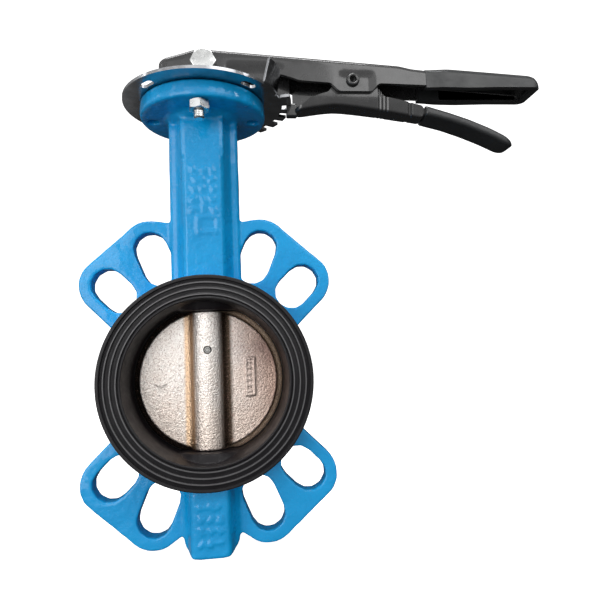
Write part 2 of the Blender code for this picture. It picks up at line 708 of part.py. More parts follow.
def trigger(moved_by):
    """A pressed channel, open above, whose front end carries the pawl and a rib that stiffens it."""
    made = plate("trigger", [side_view(TRIGGER_TOP, TRIGGER_UNDER)], -TRIGGER_HALF, TRIGGER_HALF, "Y")
    inner = TRIGGER_HALF - TRIGGER_WALL
    front = 0.0530
    above = 0.1900
    floor = [(x, z + TRIGGER_WALL) for x, z in TRIGGER_UNDER if front < x < SLEEVE_START_X]
    hollow = [
        (front - 0.0030, 0.1552), *floor, (floor[-1][0] - 0.0002, above), (front - 0.0030, above)
    ]
    join(made, box("pawl", (PAWL_X[0], -PAWL_HALF, PAWL_LOW_Z), (PAWL_X[1], PAWL_HALF, PAWL_TOP_Z)))
    cut(
        made,
        plate("trigger_hollow", [hollow], -inner, inner, "Y"),
        cross_hole("trigger_rivet_cut", RIVET_R + GAP, PIVOT),
    )
    join(made, plate("trigger_rib", [TRIGGER_RIB], -TRIGGER_RIB_HALF, TRIGGER_RIB_HALF, "Y"))
    return finish(made, "black_paint", moved_by)


def trigger_grip(moved_by):
    half = TRIGGER_HALF + GAP + SLEEVE_WALL
    made = plate("trigger_grip", [side_view(TRIGGER_SLEEVE_TOP, TRIGGER_SLEEVE_UNDER)], -half, half, "Y")
    start = ((POCKET_START_X, 0.1560), (POCKET_START_X, 0.1530))
    cut(made, sleeve_pocket("trigger_grip_pocket", TRIGGER_TOP, TRIGGER_UNDER, start, TRIGGER_HALF))
    return finish(made, "black_grip", moved_by)


def trigger_spring(moved_by):
    """A torsion spring round the rivet: one leg under the lever's top, one above the trigger's floor."""
    coil_r = RIVET_R + GAP + SPRING_WIRE_R + SPRING_GAP
    steps_per_turn = 12
    count = round(SPRING_TURNS * steps_per_turn)
    coil = []
    for i in range(count + 1):
        angle = math.radians(90) + 2 * math.pi * i / steps_per_turn
        along = -SPRING_HALF + 2 * SPRING_HALF * i / count
        coil.append((PIVOT.x - coil_r * math.cos(angle), along, PIVOT.z + coil_r * math.sin(angle)))
    upper_leg = (PIVOT.x + SPRING_UPPER_LEG[0], -SPRING_HALF, PIVOT.z + SPRING_UPPER_LEG[1])
    lower_leg = (PIVOT.x + SPRING_LOWER_LEG[0], SPRING_HALF, PIVOT.z + SPRING_LOWER_LEG[1])
    points = [upper_leg, *coil, lower_leg]
    curve = bpy.data.curves.new("trigger_spring", "CURVE")
    curve.dimensions = "3D"
    curve.bevel_depth = SPRING_WIRE_R
    curve.bevel_resolution = 1
    curve.use_fill_caps = True
    spline = curve.splines.new("POLY")
    spline.points.add(len(points) - 1)
    for point, place in zip(spline.points, points):
        point.co = (*place, 1)
    made = bpy.data.objects.new("trigger_spring", curve)
    VALVE.objects.link(made)
    curve.materials.append(SHADES["spring_steel"])
    made.parent = moved_by
    made.matrix_parent_inverse = Matrix.Translation(moved_by.location).inverted()
    return made


for old in list(bpy.data.objects):
    bpy.data.objects.remove(old)
VALVE = new_collection("butterfly_valve")
CUTTERS = new_collection("cutters")
SHADES = {name: make_material(name) for name in MATERIALS}

body_casting()
seat_liner()
sleeve("lower_bush", LOWER_BUSH, "bearing_bronze")
sleeve("middle_bush", MIDDLE_BUSH, "bearing_bronze")
sleeve("upper_bush", UPPER_BUSH, "bearing_bronze")
seal_ring("lower_seal_ring", SEAL_HEIGHTS[0])
seal_ring("upper_seal_ring", SEAL_HEIGHTS[1])
sleeve("stem_retaining_ring", RETAINING_RING, "spring_steel")
position_plate()
plate_fasteners("front", -1)
plate_fasteners("back", 1)

stem_axis = joint_empty("stem_axis", (0, 0, 0))
stem(stem_axis)
disc(stem_axis)
disc_pin(stem_axis)
lever(stem_axis)
lever_grip(stem_axis)
lever_socket(stem_axis)
clamp_fasteners(stem_axis)
pivot_rivet(stem_axis)
trigger_spring(stem_axis)

trigger_axis = joint_empty("trigger_axis", PIVOT)
trigger(trigger_axis)
trigger_grip(trigger_axis)
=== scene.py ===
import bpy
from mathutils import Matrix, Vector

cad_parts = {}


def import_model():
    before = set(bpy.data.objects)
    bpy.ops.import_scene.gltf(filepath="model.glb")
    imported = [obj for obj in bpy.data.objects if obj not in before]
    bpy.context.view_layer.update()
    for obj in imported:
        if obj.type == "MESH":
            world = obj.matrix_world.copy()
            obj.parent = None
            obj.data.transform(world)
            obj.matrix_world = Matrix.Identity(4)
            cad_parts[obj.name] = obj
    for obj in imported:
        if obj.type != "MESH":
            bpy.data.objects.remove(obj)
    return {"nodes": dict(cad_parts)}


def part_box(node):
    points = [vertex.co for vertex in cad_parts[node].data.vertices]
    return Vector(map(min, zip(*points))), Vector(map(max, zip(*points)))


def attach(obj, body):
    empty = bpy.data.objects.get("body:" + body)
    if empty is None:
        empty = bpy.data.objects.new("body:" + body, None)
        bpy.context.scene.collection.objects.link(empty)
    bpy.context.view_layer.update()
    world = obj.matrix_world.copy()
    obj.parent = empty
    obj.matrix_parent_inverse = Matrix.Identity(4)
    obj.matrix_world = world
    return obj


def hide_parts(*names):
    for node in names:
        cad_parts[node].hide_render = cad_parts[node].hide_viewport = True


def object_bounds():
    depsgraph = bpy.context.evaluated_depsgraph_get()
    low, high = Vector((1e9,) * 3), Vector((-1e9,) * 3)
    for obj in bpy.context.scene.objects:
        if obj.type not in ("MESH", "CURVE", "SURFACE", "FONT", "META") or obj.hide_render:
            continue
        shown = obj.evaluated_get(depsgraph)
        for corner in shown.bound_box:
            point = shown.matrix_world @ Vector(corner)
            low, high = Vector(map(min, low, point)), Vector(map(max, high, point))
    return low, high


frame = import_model()

"""The looks of the butterfly valve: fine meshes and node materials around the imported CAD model.

Units are metres. -Y is the side that the camera sees, +X runs along the lever and +Z up the stem.
Every mesh is made in place, so its object stays at the origin and rides on its CAD body.
"""

import math
import random

import bmesh
import bpy
import numpy as np
from mathutils import Matrix, Vector, noise
from mathutils.bvhtree import BVHTree

CAD_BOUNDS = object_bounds()
VALVE, STEM, TRIGGER = "valve_body", "stem_and_lever", "trigger_arm"

# Between a shaft and its hole, or two faces that meet.
GAP = 0.0003
# The radii of the seat's three ribs and of its mouth.
SEAT_CRESTS = (0.0519, 0.0488, 0.04565)
SEAT_MOUTH_R = 0.0431


# -------- mesh tools

def linked(name, data):
    """A new object with this data, in the scene."""
    made = bpy.data.objects.new(name, data)
    bpy.context.scene.collection.objects.link(made)
    return made


def as_object(name, bm):
    """A new object holding this bmesh, its normals out. The bmesh is used up."""
    mesh = bpy.data.meshes.new(name)
    bmesh.ops.recalc_face_normals(bm, faces=bm.faces)
    bm.to_mesh(mesh)
    bm.free()
    return linked(name, mesh)


def skin(rows, ring=False):
    """A bmesh of quads between closed rows of points, and the rows as vertices.

    ring joins the last row to the first."""
    bm = bmesh.new()
    lines = [[bm.verts.new(point) for point in row] for row in rows]
    pairs = list(zip(lines, lines[1:]))
    if ring:
        pairs.append((lines[-1], lines[0]))
    for first, second in pairs:
        for i in range(len(first)):
            j = (i + 1) % len(first)
            bm.faces.new((first[i], first[j], second[j], second[i]))
    return bm, lines


def capped(name, rows):
    """A solid whose sections are these closed rows of points, its two ends filled."""
    bm, lines = skin(rows)
    bm.faces.new(lines[0])
    bm.faces.new(lines[-1])
    return as_object(name, bm)


def arc(centre, radius, start, end, steps):
    """Points along an arc, its angles in degrees."""
    angles = np.radians(np.linspace(start, end, steps + 1))
    return [(centre[0] + radius * math.cos(a), centre[1] + radius * math.sin(a)) for a in angles]


def polar(radius, angle):
    return radius * math.cos(math.radians(angle)), radius * math.sin(math.radians(angle))


def mirrored(half):
    """A profile and its mirror image across height 0. A last point at height 0 isn't doubled."""
    back = half[:-1] if half[-1][1] == 0 else half
    return half + [(radius, -height) for radius, height in reversed(back)]


def smoothstep(value, start, end):
    share = min(1.0, max(0.0, (value - start) / (end - start)))
    return share * share * (3 - 2 * share)


def hump(value, start, full, fade, gone):
    """1 between full and fade, easing out to 0 at start and at gone."""
    return smoothstep(value, start, full) * (1 - smoothstep(value, fade, gone))


def round_axis(axis, centre, radius, angle, height):
    """A point at a radius and an angle in radians round an axis, and at a height along it."""
    across, up = radius * math.cos(angle), radius * math.sin(angle)
    return Vector((across, up, height) if axis == "Z" else (across, height, up)) + Vector(centre)


def lathe(name, profile, steps, axis="Z", centre=(0, 0, 0), ring=True):
    """A turned solid: (radius, height) points round an axis. ring is for a profile that is a closed loop."""
    turns = np.linspace(0, 2 * math.pi, steps, endpoint=False)
    rows = [[round_axis(axis, centre, radius, turn, height) for turn in turns] for radius, height in profile]
    bm, _ = skin(rows, ring)
    bmesh.ops.remove_doubles(bm, verts=bm.verts, dist=1e-7)
    return as_object(name, bm)


def rod(name, radius, reach, steps, axis="Z", centre=(0, 0, 0)):
    """A plain cylinder that reaches this far to both sides of its centre."""
    return lathe(name, mirrored([(0, reach), (radius, reach)]), steps, axis, centre, ring=False)


def slab(name, outlines, low, high):
    """A flat piece with holes, from low to high along Z."""
    curve = bpy.data.curves.new(name, "CURVE")
    curve.dimensions = "2D"
    curve.fill_mode = "BOTH"
    curve.extrude = (high - low) / 2
    for outline in outlines:
        spline = curve.splines.new("POLY")
        spline.points.add(len(outline) - 1)
        for point, place in zip(spline.points, outline):
            point.co = (*place, 0, 1)
        spline.use_cyclic_u = True
    guide = linked(name, curve)
    graph = bpy.context.evaluated_depsgraph_get()
    bm = bmesh.new()
    bm.from_mesh(bpy.data.meshes.new_from_object(guide.evaluated_get(graph)))
    bpy.data.objects.remove(guide)
    bmesh.ops.remove_doubles(bm, verts=bm.verts, dist=1e-6)
    bm.transform(Matrix.Translation((0, 0, (low + high) / 2)))
    return as_object(name, bm)


def settle(obj):
    """Turns an object's modifiers into its mesh."""
    graph = bpy.context.evaluated_depsgraph_get()
    mesh = bpy.data.meshes.new_from_object(obj.evaluated_get(graph))
    obj.modifiers.clear()
    obj.data = mesh
    return obj


def combine(target, operation, *others):
    """A union or difference with closed meshes, which are used up."""
    for other in others:
        step = target.modifiers.new("combine", "BOOLEAN")
        step.operation = operation
        step.solver = "MANIFOLD"
        step.object = other
    settle(target)
    for other in others:
        bpy.data.objects.remove(other)
    return target


def soften(obj, width, segments=2):
    """Rounds an object's sharp edges."""
    bevel = obj.modifiers.new("soften", "BEVEL")
    bevel.width = width
    bevel.segments = segments
    bevel.limit_method = "ANGLE"
    bevel.angle_limit = math.radians(40)
    bevel.use_clamp_overlap = True
    return settle(obj)


def block(name, middle, size, bevel):
    """A rectangular piece with rounded edges."""
    bm = bmesh.new()
    bmesh.ops.create_cube(bm, size=1.0, matrix=Matrix.Translation(middle) @ Matrix.Diagonal((*size, 1.0)))
    return soften(as_object(name, bm), bevel, 3)


def gather(bm, *parts):
    """Puts the meshes of the parts into the bmesh and uses the parts up."""
    for part in parts:
        bm.from_mesh(part.data)
        bpy.data.objects.remove(part)
    return bm


def melt(obj, voxel, passes):
    """Fuses what the mesh holds into one even skin, and rounds its corners as a casting's are."""
    remesh = obj.modifiers.new("melt", "REMESH")
    remesh.mode = "VOXEL"
    remesh.voxel_size = voxel
    smooth = obj.modifiers.new("smooth", "SMOOTH")
    smooth.factor = 0.5
    smooth.iterations = passes
    return settle(obj)


def roughen(obj, waves):
    """Moves each point along its normal by layers of noise, given as (size, depth) in metres."""
    normals = [vertex.normal.copy() for vertex in obj.data.vertices]
    for vertex, normal in zip(obj.data.vertices, normals):
        vertex.co += normal * sum(depth * noise.noise(vertex.co / size) for size, depth in waves)


def cad_bmesh(node):
    """A copy of a CAD node's mesh, its split corners welded."""
    bm = bmesh.new()
    bm.from_mesh(frame["nodes"][node].data)
    bmesh.ops.remove_doubles(bm, verts=bm.verts, dist=1e-6)
    return bm


def middle_of(node, axis):
    """The middle of a CAD node's box, but at 0 along this axis."""
    low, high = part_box(node)
    middle = (low + high) / 2
    middle["XYZ".index(axis)] = 0.0
    return middle


def half_width(node):
    low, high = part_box(node)
    return (high.x - low.x) / 2


def keep_inside(obj, nodes):
    """Trims what stands out of the nodes' box, such as the crests of a rough skin."""
    boxes = np.array([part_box(node) for node in nodes])
    points = np.empty(len(obj.data.vertices) * 3, np.float32)
    obj.data.vertices.foreach_get("co", points)
    points = np.clip(points.reshape(-1, 3), boxes[:, 0].min(axis=0), boxes[:, 1].max(axis=0))
    obj.data.vertices.foreach_set("co", points.astype(np.float32).ravel())
    obj.data.update()


# The cast skins, which have no bevels, are finer than this.
MOST_EVENED = 60000


def piece(obj, material, slot, body, *nodes, angle=35):
    """Gives a finished mesh its material and its place in the frame.

    Evened normals keep a bevel from tinting the flat face beside it."""
    if nodes:
        keep_inside(obj, nodes)
    obj.data.materials.clear()
    obj.data.materials.append(material)
    obj.data.shade_smooth()
    obj.data.set_sharp_from_angle(angle=math.radians(angle))
    if len(obj.data.polygons) < MOST_EVENED:
        obj.modifiers.new("even_normals", "WEIGHTED_NORMAL").keep_sharp = True
        settle(obj)
    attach(obj, body)
    if nodes:
        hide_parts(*nodes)
    return obj


# -------- materials

def set_range(node, start, end, low, high):
    """Makes a Map Range node turn start to end into low to high."""
    for socket, number in (("From Min", start), ("From Max", end), ("To Min", low), ("To Max", high)):
        node.inputs[socket].default_value = number


class Paintbox:
    """One node material. Its patterns use object coordinates, which stay on the piece as it moves."""

    def __init__(self, name, colour, roughness, metallic=0.0, **uniform):
        self.material = bpy.data.materials.new(name)
        self.material.use_nodes = True
        self.tree = self.material.node_tree
        self.shader = self.tree.nodes["Principled BSDF"]
        self.set("Base Color", (*colour, 1.0))
        self.set("Roughness", roughness)
        self.set("Metallic", metallic)
        for socket, value in uniform.items():
            self.set(socket.replace("_", " "), value)
        self.place = self.tree.nodes.new("ShaderNodeTexCoord").outputs["Object"]
        self.normal = None

    def set(self, socket, value):
        self.shader.inputs[socket].default_value = value

    def join(self, output, target):
        self.tree.links.new(output, target)

    def noise(self, size, detail):
        """Noise from 0 to 1 whose features are about this size in metres."""
        made = self.tree.nodes.new("ShaderNodeTexNoise")
        made.inputs["Scale"].default_value = 1 / size
        made.inputs["Detail"].default_value = detail
        self.join(self.place, made.inputs["Vector"])
        return made.outputs["Fac"]

    def along(self, axis):
        """The object coordinate along an axis, in metres."""
        made = self.tree.nodes.new("ShaderNodeSeparateXYZ")
        self.join(self.place, made.inputs["Vector"])
        return made.outputs[axis]

    def radius_from_axis(self):
        """How far a point is from the bore's axis, in metres."""
        flatten = self.tree.nodes.new("ShaderNodeMapping")
        flatten.inputs["Scale"].default_value = (1.0, 0.0, 1.0)
        self.join(self.place, flatten.inputs["Vector"])
        made = self.tree.nodes.new("ShaderNodeVectorMath")
        made.operation = "LENGTH"
        self.join(flatten.outputs["Vector"], made.inputs[0])
        return made.outputs["Value"]

    def spread(self, value, low, high, start=0.3, end=0.7):
        """A value from start to end, spread over low to high."""
        made = self.tree.nodes.new("ShaderNodeMapRange")
        set_range(made, start, end, low, high)
        self.join(value, made.inputs["Value"])
        return made.outputs["Result"]

    def product(self, first, second):
        made = self.tree.nodes.new("ShaderNodeMath")
        made.operation = "MULTIPLY"
        self.join(first, made.inputs[0])
        self.join(second, made.inputs[1])
        return made.outputs["Value"]

    def band(self, value, start, full, fade, gone):
        """1 between full and fade, running out to 0 at start and at gone."""
        rise = self.spread(value, 0.0, 1.0, start, full)
        return self.product(rise, self.spread(value, 1.0, 0.0, fade, gone))

    def mix(self, factor, first, second):
        """A colour between two, each a colour or another mix."""
        made = self.tree.nodes.new("ShaderNodeMix")
        made.data_type = "RGBA"
        self.join(factor, made.inputs["Factor"])
        for socket, colour in ((made.inputs[6], first), (made.inputs[7], second)):
            if isinstance(colour, tuple):
                socket.default_value = (*colour, 1.0)
            else:
                self.join(colour, socket)
        return made.outputs[2]

    def bump(self, size, detail, depth):
        """Adds waves about this wide and deep, in metres, to those the surface has."""
        made = self.tree.nodes.new("ShaderNodeBump")
        made.inputs["Distance"].default_value = depth
        self.join(self.noise(size, detail), made.inputs["Height"])
        if self.normal:
            self.join(self.normal, made.inputs["Normal"])
        self.normal = made.outputs["Normal"]
        self.join(self.normal, self.shader.inputs["Normal"])

    def colour(self, output):
        self.join(output, self.shader.inputs["Base Color"])

    def roughness(self, output):
        self.join(output, self.shader.inputs["Roughness"])


def blue_enamel():
    """Glossy machine enamel brushed thickly over a sand casting."""
    paint = Paintbox("blue_enamel", (0.02, 0.30, 0.66), 0.22, Specular_IOR_Level=0.22, Coat_Weight=0.50,
                     Coat_Roughness=0.04)
    broad = paint.spread(paint.noise(0.030, 2), 0.0, 1.0)
    body = paint.mix(broad, (0.002, 0.300, 0.66), (0.004, 0.365, 0.77))
    specks = paint.spread(paint.noise(0.0011, 2), 0.0, 0.5, 0.68, 0.80)
    paint.colour(paint.mix(specks, body, (0.008, 0.16, 0.42)))
    paint.roughness(paint.spread(paint.noise(0.012, 3), 0.16, 0.30))
    paint.bump(0.0060, 3, 0.00075)
    paint.bump(0.0016, 2, 0.00014)
    return paint.material


def seat_rubber():
    """Moulded EPDM: a dull sheen and a little dust, with painted highlights along the ribs' thin crests and
    painted shade in the bore.
    """
    paint = Paintbox("seat_rubber", (0.02, 0.02, 0.021), 0.42, Specular_IOR_Level=0.28)
    dust = paint.spread(paint.noise(0.0009, 2), 0.0, 0.5, 0.70, 0.80)
    base = paint.mix(paint.noise(0.015, 3), (0.010, 0.0095, 0.0105), (0.020, 0.019, 0.021))
    dust_and_crest_highlights = paint.mix(dust, base, (0.14, 0.14, 0.14))
    radius = paint.radius_from_axis()
    # Painted highlights: each rib's thin crest is painted paler, as a line of light along it.
    for crest in SEAT_CRESTS:
        crest_highlight = paint.band(radius, crest - 0.00055, crest - 0.0001, crest + 0.0001, crest + 0.00045)
        dust_and_crest_highlights = paint.mix(crest_highlight, dust_and_crest_highlights, (0.130, 0.128, 0.132))
    # Painted shade: the funnel and bore inside the mouth are painted near black.
    bore = paint.spread(radius, 1.0, 0.0, 0.0420, 0.0432)
    paint.colour(paint.mix(bore, dust_and_crest_highlights, (0.006, 0.0045, 0.006)))
    paint.roughness(paint.spread(paint.noise(0.008, 4), 0.36, 0.52))
    paint.bump(0.0005, 3, 0.00004)
    paint.bump(0.0070, 2, 0.00030)
    return paint.material


def seal_rubber():
    """Plain dark rubber of the stem's seal rings."""
    paint = Paintbox("seal_rubber", (0.02, 0.02, 0.02), 0.5)
    paint.colour(paint.mix(paint.noise(0.002, 2), (0.012, 0.012, 0.012), (0.03, 0.03, 0.03)))
    paint.bump(0.0008, 2, 0.00003)
    return paint.material


# Painted light beside the boss: a painted highlight on its left flank and painted shade on its right,
# as (start, full, fading, gone) along X and a colour.
BOSS_LIGHT_STRIPES = (
    (-0.0136, -0.0122, -0.0084, -0.0068, (0.82, 0.58, 0.38)),
    (0.0058, 0.0084, 0.0116, 0.0138, (0.09, 0.065, 0.045)),
)


def cast_disc():
    """Sand-cast aluminium bronze, grainy, painted with light: a silvery painted highlight on the left,
    painted shade to the right.
    """
    paint = Paintbox("cast_disc", (0.72, 0.60, 0.50), 0.42, 1.0)
    # Painted light: silvery white on the left as a painted highlight, and to the right the bronze's own
    # pink-brown darkened as painted shade.
    across = paint.spread(paint.along("X"), 0.0, 1.0, 0.006, 0.036)
    tone = paint.mix(across, (0.97, 0.94, 0.90), (0.40, 0.24, 0.19))
    # Painted shade over the upper right.
    high = paint.product(paint.spread(paint.along("Z"), 0.0, 0.95, -0.004, 0.020), across)
    tone = paint.mix(high, tone, (0.15, 0.09, 0.08))
    # Paler towards the bottom.
    low = paint.spread(paint.along("Z"), 0.6, 0.0, -0.030, 0.010)
    tone = paint.mix(low, tone, (0.76, 0.62, 0.52))
    patches = paint.spread(paint.noise(0.012, 3), 0.0, 0.30)
    tone = paint.mix(patches, tone, (0.78, 0.60, 0.49))
    # Painted highlight and painted shade on the boss's flanks.
    for *edges, painted_light in BOSS_LIGHT_STRIPES:
        tone = paint.mix(paint.band(paint.along("X"), *edges), tone, painted_light)
    bevelled = paint.spread(paint.radius_from_axis(), 0.0, 1.0, 0.0374, 0.0381)
    right = paint.spread(paint.along("X"), 0.0, 1.0, 0.000, 0.020)
    # Painted shade darkens the bevelled edge, and a painted reflection lights its right side.
    tone = paint.mix(bevelled, tone, (0.03, 0.024, 0.02))
    tone = paint.mix(paint.product(bevelled, right), tone, (0.95, 0.74, 0.56))
    pits = paint.spread(paint.noise(0.0006, 3), 0.0, 0.75, 0.52, 0.70)
    paint.colour(paint.mix(pits, tone, (0.34, 0.21, 0.17)))
    paint.roughness(paint.spread(bevelled, 0.34, 0.62))
    paint.bump(0.0010, 3, 0.00042)
    paint.bump(0.00045, 2, 0.00020)
    return paint.material


def plated(name, colour, low, high):
    """Plated or bare metal with fine grain, its gloss cloudy between two roughnesses."""
    paint = Paintbox(name, colour, (low + high) / 2, 1.0)
    darker = tuple(c * 0.72 for c in colour)
    paint.colour(paint.mix(paint.spread(paint.noise(0.006, 4), 0.0, 1.0), darker, colour))
    paint.roughness(paint.spread(paint.noise(0.003, 4), low, high))
    paint.bump(0.0004, 3, 0.000006)
    return paint.material


def black_paint():
    """Glossy black paint on pressed steel, slightly wavy."""
    paint = Paintbox("black_paint", (0.012, 0.012, 0.013), 0.2, Coat_Weight=0.8, Coat_Roughness=0.08)
    paint.colour(paint.mix(paint.noise(0.010, 3), (0.010, 0.010, 0.011), (0.030, 0.030, 0.030)))
    paint.roughness(paint.spread(paint.noise(0.006, 4), 0.16, 0.32))
    paint.bump(0.0140, 2, 0.00025)
    paint.bump(0.0010, 2, 0.000005)
    return paint.material


def black_grip():
    """Dipped vinyl: smooth, thick and a little softer in its gloss than the paint."""
    paint = Paintbox("black_grip", (0.02, 0.02, 0.022), 0.3, Coat_Weight=0.15, Coat_Roughness=0.2)
    paint.colour(paint.mix(paint.noise(0.014, 3), (0.014, 0.015, 0.016), (0.034, 0.036, 0.037)))
    paint.roughness(paint.spread(paint.noise(0.010, 3), 0.26, 0.40))
    paint.bump(0.0090, 2, 0.00050)
    paint.bump(0.0006, 2, 0.00002)
    return paint.material


# -------- body, seat and disc

CAST_VOXEL = 0.00080
MARK_HEIGHT = 0.0007


def add_bar(bm, centre, length, width, height, turn):
    """A short raised bar lying on a face that looks along -Y."""
    place = (
        Matrix.Translation(centre)
        @ Matrix.Rotation(turn, 4, "Y")
        @ Matrix.Diagonal((length, 2 * height, width, 1.0))
    )
    bmesh.ops.create_cube(bm, size=1.0, matrix=place)


def add_frame(bm, low, high, y, width):
    """A raised rectangle on a face that looks along -Y, between two corners in X and Z."""
    middle = ((low[0] + high[0]) / 2, (low[1] + high[1]) / 2)
    for z in (low[1], high[1]):
        add_bar(bm, (middle[0], y, z), high[0] - low[0] + width, width, MARK_HEIGHT, 0)
    for x in (low[0], high[0]):
        add_bar(bm, (x, y, middle[1]), high[1] - low[1] + width, width, MARK_HEIGHT, math.pi / 2)


def add_cast_marks(bm, low, high, y, rows, columns, draw):
    """Worn raised strokes of no meaning, as foundry marks look once they are painted over."""
    step_x = (high[0] - low[0]) / columns
    step_z = (high[1] - low[1]) / rows
    jitter = 0.0004
    for row in range(rows):
        for column in range(columns):
            x = low[0] + (column + 0.5) * step_x + draw.uniform(-jitter, jitter)
            z = low[1] + (row + 0.5) * step_z + draw.uniform(-jitter, jitter)
            for _ in range(2):
                turn = draw.choice((0, math.pi / 2, math.pi / 3, -math.pi / 4))
                length = draw.uniform(0.45, 0.85) * min(step_x, step_z)
                shift = draw.uniform(-0.2, 0.2) * step_x
                add_bar(bm, (x + shift, y, z), length, 0.0010, MARK_HEIGHT, turn)


def cast_body(material):
    """The blue casting, with rounded edges, a wavy skin and raised marks on the neck and hub."""
    hub_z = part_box("body_casting")[0].z
    draw = random.Random(4)
    marks = bmesh.new()
    neck_y, hub_y = -0.0160, -0.0150
    add_frame(marks, (-0.0030, 0.0800), (0.0075, 0.0885), neck_y, 0.0009)
    add_cast_marks(marks, (-0.0075, 0.0900), (0.0080, 0.1180), neck_y, 5, 3, draw)
    add_cast_marks(marks, (-0.0070, hub_z + 0.0050), (0.0070, hub_z + 0.0290), hub_y, 4, 3, draw)
    back_marks = marks.copy()
    back_marks.transform(Matrix.Rotation(math.pi, 4, "Z"))
    sides = as_object("front_marks", marks), as_object("back_marks", back_marks)
    whole = gather(cad_bmesh("body_casting"), *sides)
    made = melt(as_object("body_casting_fine", whole), CAST_VOXEL, 4)
    roughen(made, [(0.0100, 0.00016), (0.0030, 0.00005)])
    return piece(made, material, "blue_enamel", VALVE, "body_casting", angle=60)


# Half the width of a seat rib's crest, and how deep the grooves between the ribs are.
CREST_HALF = 0.00022
RIB_DEPTH = 0.0011


def seat_face(seat_r, face_y):
    """Half of the seat's section, (radius, y), from the rim over the ribbed face into the mouth.

    Each rib is a saw tooth: it climbs slowly to a thin crest and falls steeply on the inner side."""
    rim, lip = 0.0008, 0.0007
    groove_y = face_y - RIB_DEPTH
    points = arc((seat_r - rim, face_y - rim), rim, 0, 90, 4) + [(seat_r - 0.0017, face_y)]
    foot = seat_r - 0.0021
    for crest in SEAT_CRESTS:
        outer, inner = crest + CREST_HALF, crest - CREST_HALF
        points.append((foot, groove_y))
        for share in (0.25, 0.5, 0.75):
            points.append((foot + (outer - foot) * share, face_y - RIB_DEPTH * (1 - share ** 1.6)))
        points += [(outer, face_y), (inner, face_y)]
        foot = inner - 0.00035
    points += [(foot, groove_y), (SEAT_MOUTH_R + 0.0014, face_y - 0.0003)]
    return points + arc((SEAT_MOUTH_R + lip, face_y - lip), lip, 90, 190, 6)


def seat(material):
    """The rubber liner: ribbed faces, a funnel-shaped bore and a flat round pad at each stem hole."""
    seat_r, face_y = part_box("seat_liner")[1].xy
    disc_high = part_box("disc")[1]
    throat_r, throat_half = disc_high.x + GAP, 0.0080
    pad_z, pad_r, pad_edge = disc_high.z + GAP, 0.0170, 0.0020
    lip_y, sleeve_r = face_y - 0.0027, 0.0475
    outside = [(sleeve_r, lip_y), (seat_r, lip_y), (seat_r, lip_y + 0.0006)]
    flare, depth = SEAT_MOUTH_R - throat_r, face_y - 0.0012 - throat_half
    funnel = [(throat_r + flare * t ** 1.3, throat_half + depth * t) for t in np.linspace(0.93, 0, 16)]
    bore = [(throat_r, y) for y in np.linspace(throat_half, 0, 8)][1:]
    made = lathe("seat_liner_fine", mirrored(outside + seat_face(seat_r, face_y) + funnel + bore), 288, "Y")
    for vertex in made.data.vertices:
        x, y, z = vertex.co
        near_axis = math.hypot(x, y)
        inner = math.hypot(x, z) < sleeve_r - 0.0005
        if inner and near_axis < pad_r + pad_edge and abs(z) > pad_z:
            share = 1 - smoothstep(near_axis, pad_r, pad_r + pad_edge)
            vertex.co.z = math.copysign(abs(z) + (pad_z - abs(z)) * share, z)
    combine(made, "DIFFERENCE", rod("seat_stem_cut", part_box("stem")[1].x + GAP, 0.06, 48))
    return piece(made, material, "seat_rubber", VALVE, "seat_liner", angle=50)


DISC_VOXEL = 0.00048


def fillet(boss_r, face_y, half_length, side_x, side_y):
    """The hollow curve that runs from the disc's face up onto the boss, all along it."""
    radius, sunk = 0.0042, 0.0015
    centre_y = face_y + radius
    centre_x = math.sqrt((boss_r + radius) ** 2 - centre_y ** 2)
    end = math.degrees(math.atan2(-centre_y, -centre_x)) + 360
    section = arc((centre_x, centre_y), radius, 270, end, 6)
    section += [(boss_r * 0.7, face_y), (boss_r * 0.7, face_y - sunk), (centre_x, face_y - sunk)]
    rows = [[(side_x * x, side_y * y, z) for x, y in section] for z in (-half_length, half_length)]
    return capped("fillet", rows)


def disc(material):
    """The cast disc: two raised faces inside a bevelled edge, with the stem's boss across the middle."""
    edge_r, boss_r, top_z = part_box("disc")[1]
    face_r, face_y, edge_y, boss_edge = 0.0376, 0.0045, 0.0018, 0.0004
    half = [(0, face_y), (face_r - 0.0012, face_y), (face_r - 0.0006, face_y + 0.0002),
            (face_r - 0.0001, face_y), (face_r + 0.0004, face_y - 0.0018),
            (edge_r - 0.0008, edge_y - 0.0002), (edge_r, edge_y - 0.0010)]
    faces = lathe("faces", mirrored(half), 128, "Y", ring=False)
    boss_half = [(0, top_z), (boss_r - boss_edge, top_z), (boss_r, top_z - boss_edge)]
    boss = lathe("boss", mirrored(boss_half), 64, ring=False)
    sides = ((-1, -1), (-1, 1), (1, -1), (1, 1))
    fillets = [fillet(boss_r, face_y, face_r - 0.0030, *side) for side in sides]
    # The front's marks: a framed column of short bars on the right, and a worn sign on the left.
    marks = bmesh.new()
    add_frame(marks, (0.0205, -0.0090), (0.0250, 0.0110), -face_y, 0.0006)
    for i in range(6):
        add_bar(marks, (0.02275, -face_y, -0.0070 + 0.0032 * i), 0.0018, 0.0012, 0.0005, 0.35 * (i % 3))
    for x, turn in ((-0.0272, 0.5), (-0.0250, -0.5), (-0.0262, math.pi / 2)):
        add_bar(marks, (x, -face_y, -0.0020), 0.0034, 0.0007, 0.0004, turn)
    whole = gather(bmesh.new(), faces, boss, *fillets, as_object("disc_marks", marks))
    made = melt(as_object("disc_fine", whole), DISC_VOXEL, 3)
    roughen(made, [(0.0040, 0.00005), (0.0013, 0.00003)])
    pin_cut = rod("pin_cut", half_width("disc_pin") + GAP, 0.02, 32, "Y", middle_of("disc_pin", "Y"))
    combine(made, "DIFFERENCE", pin_cut, rod("stem_cut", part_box("stem")[1].x + GAP, 0.05, 48))
    return piece(made, material, "cast_disc", STEM, "disc", angle=60)


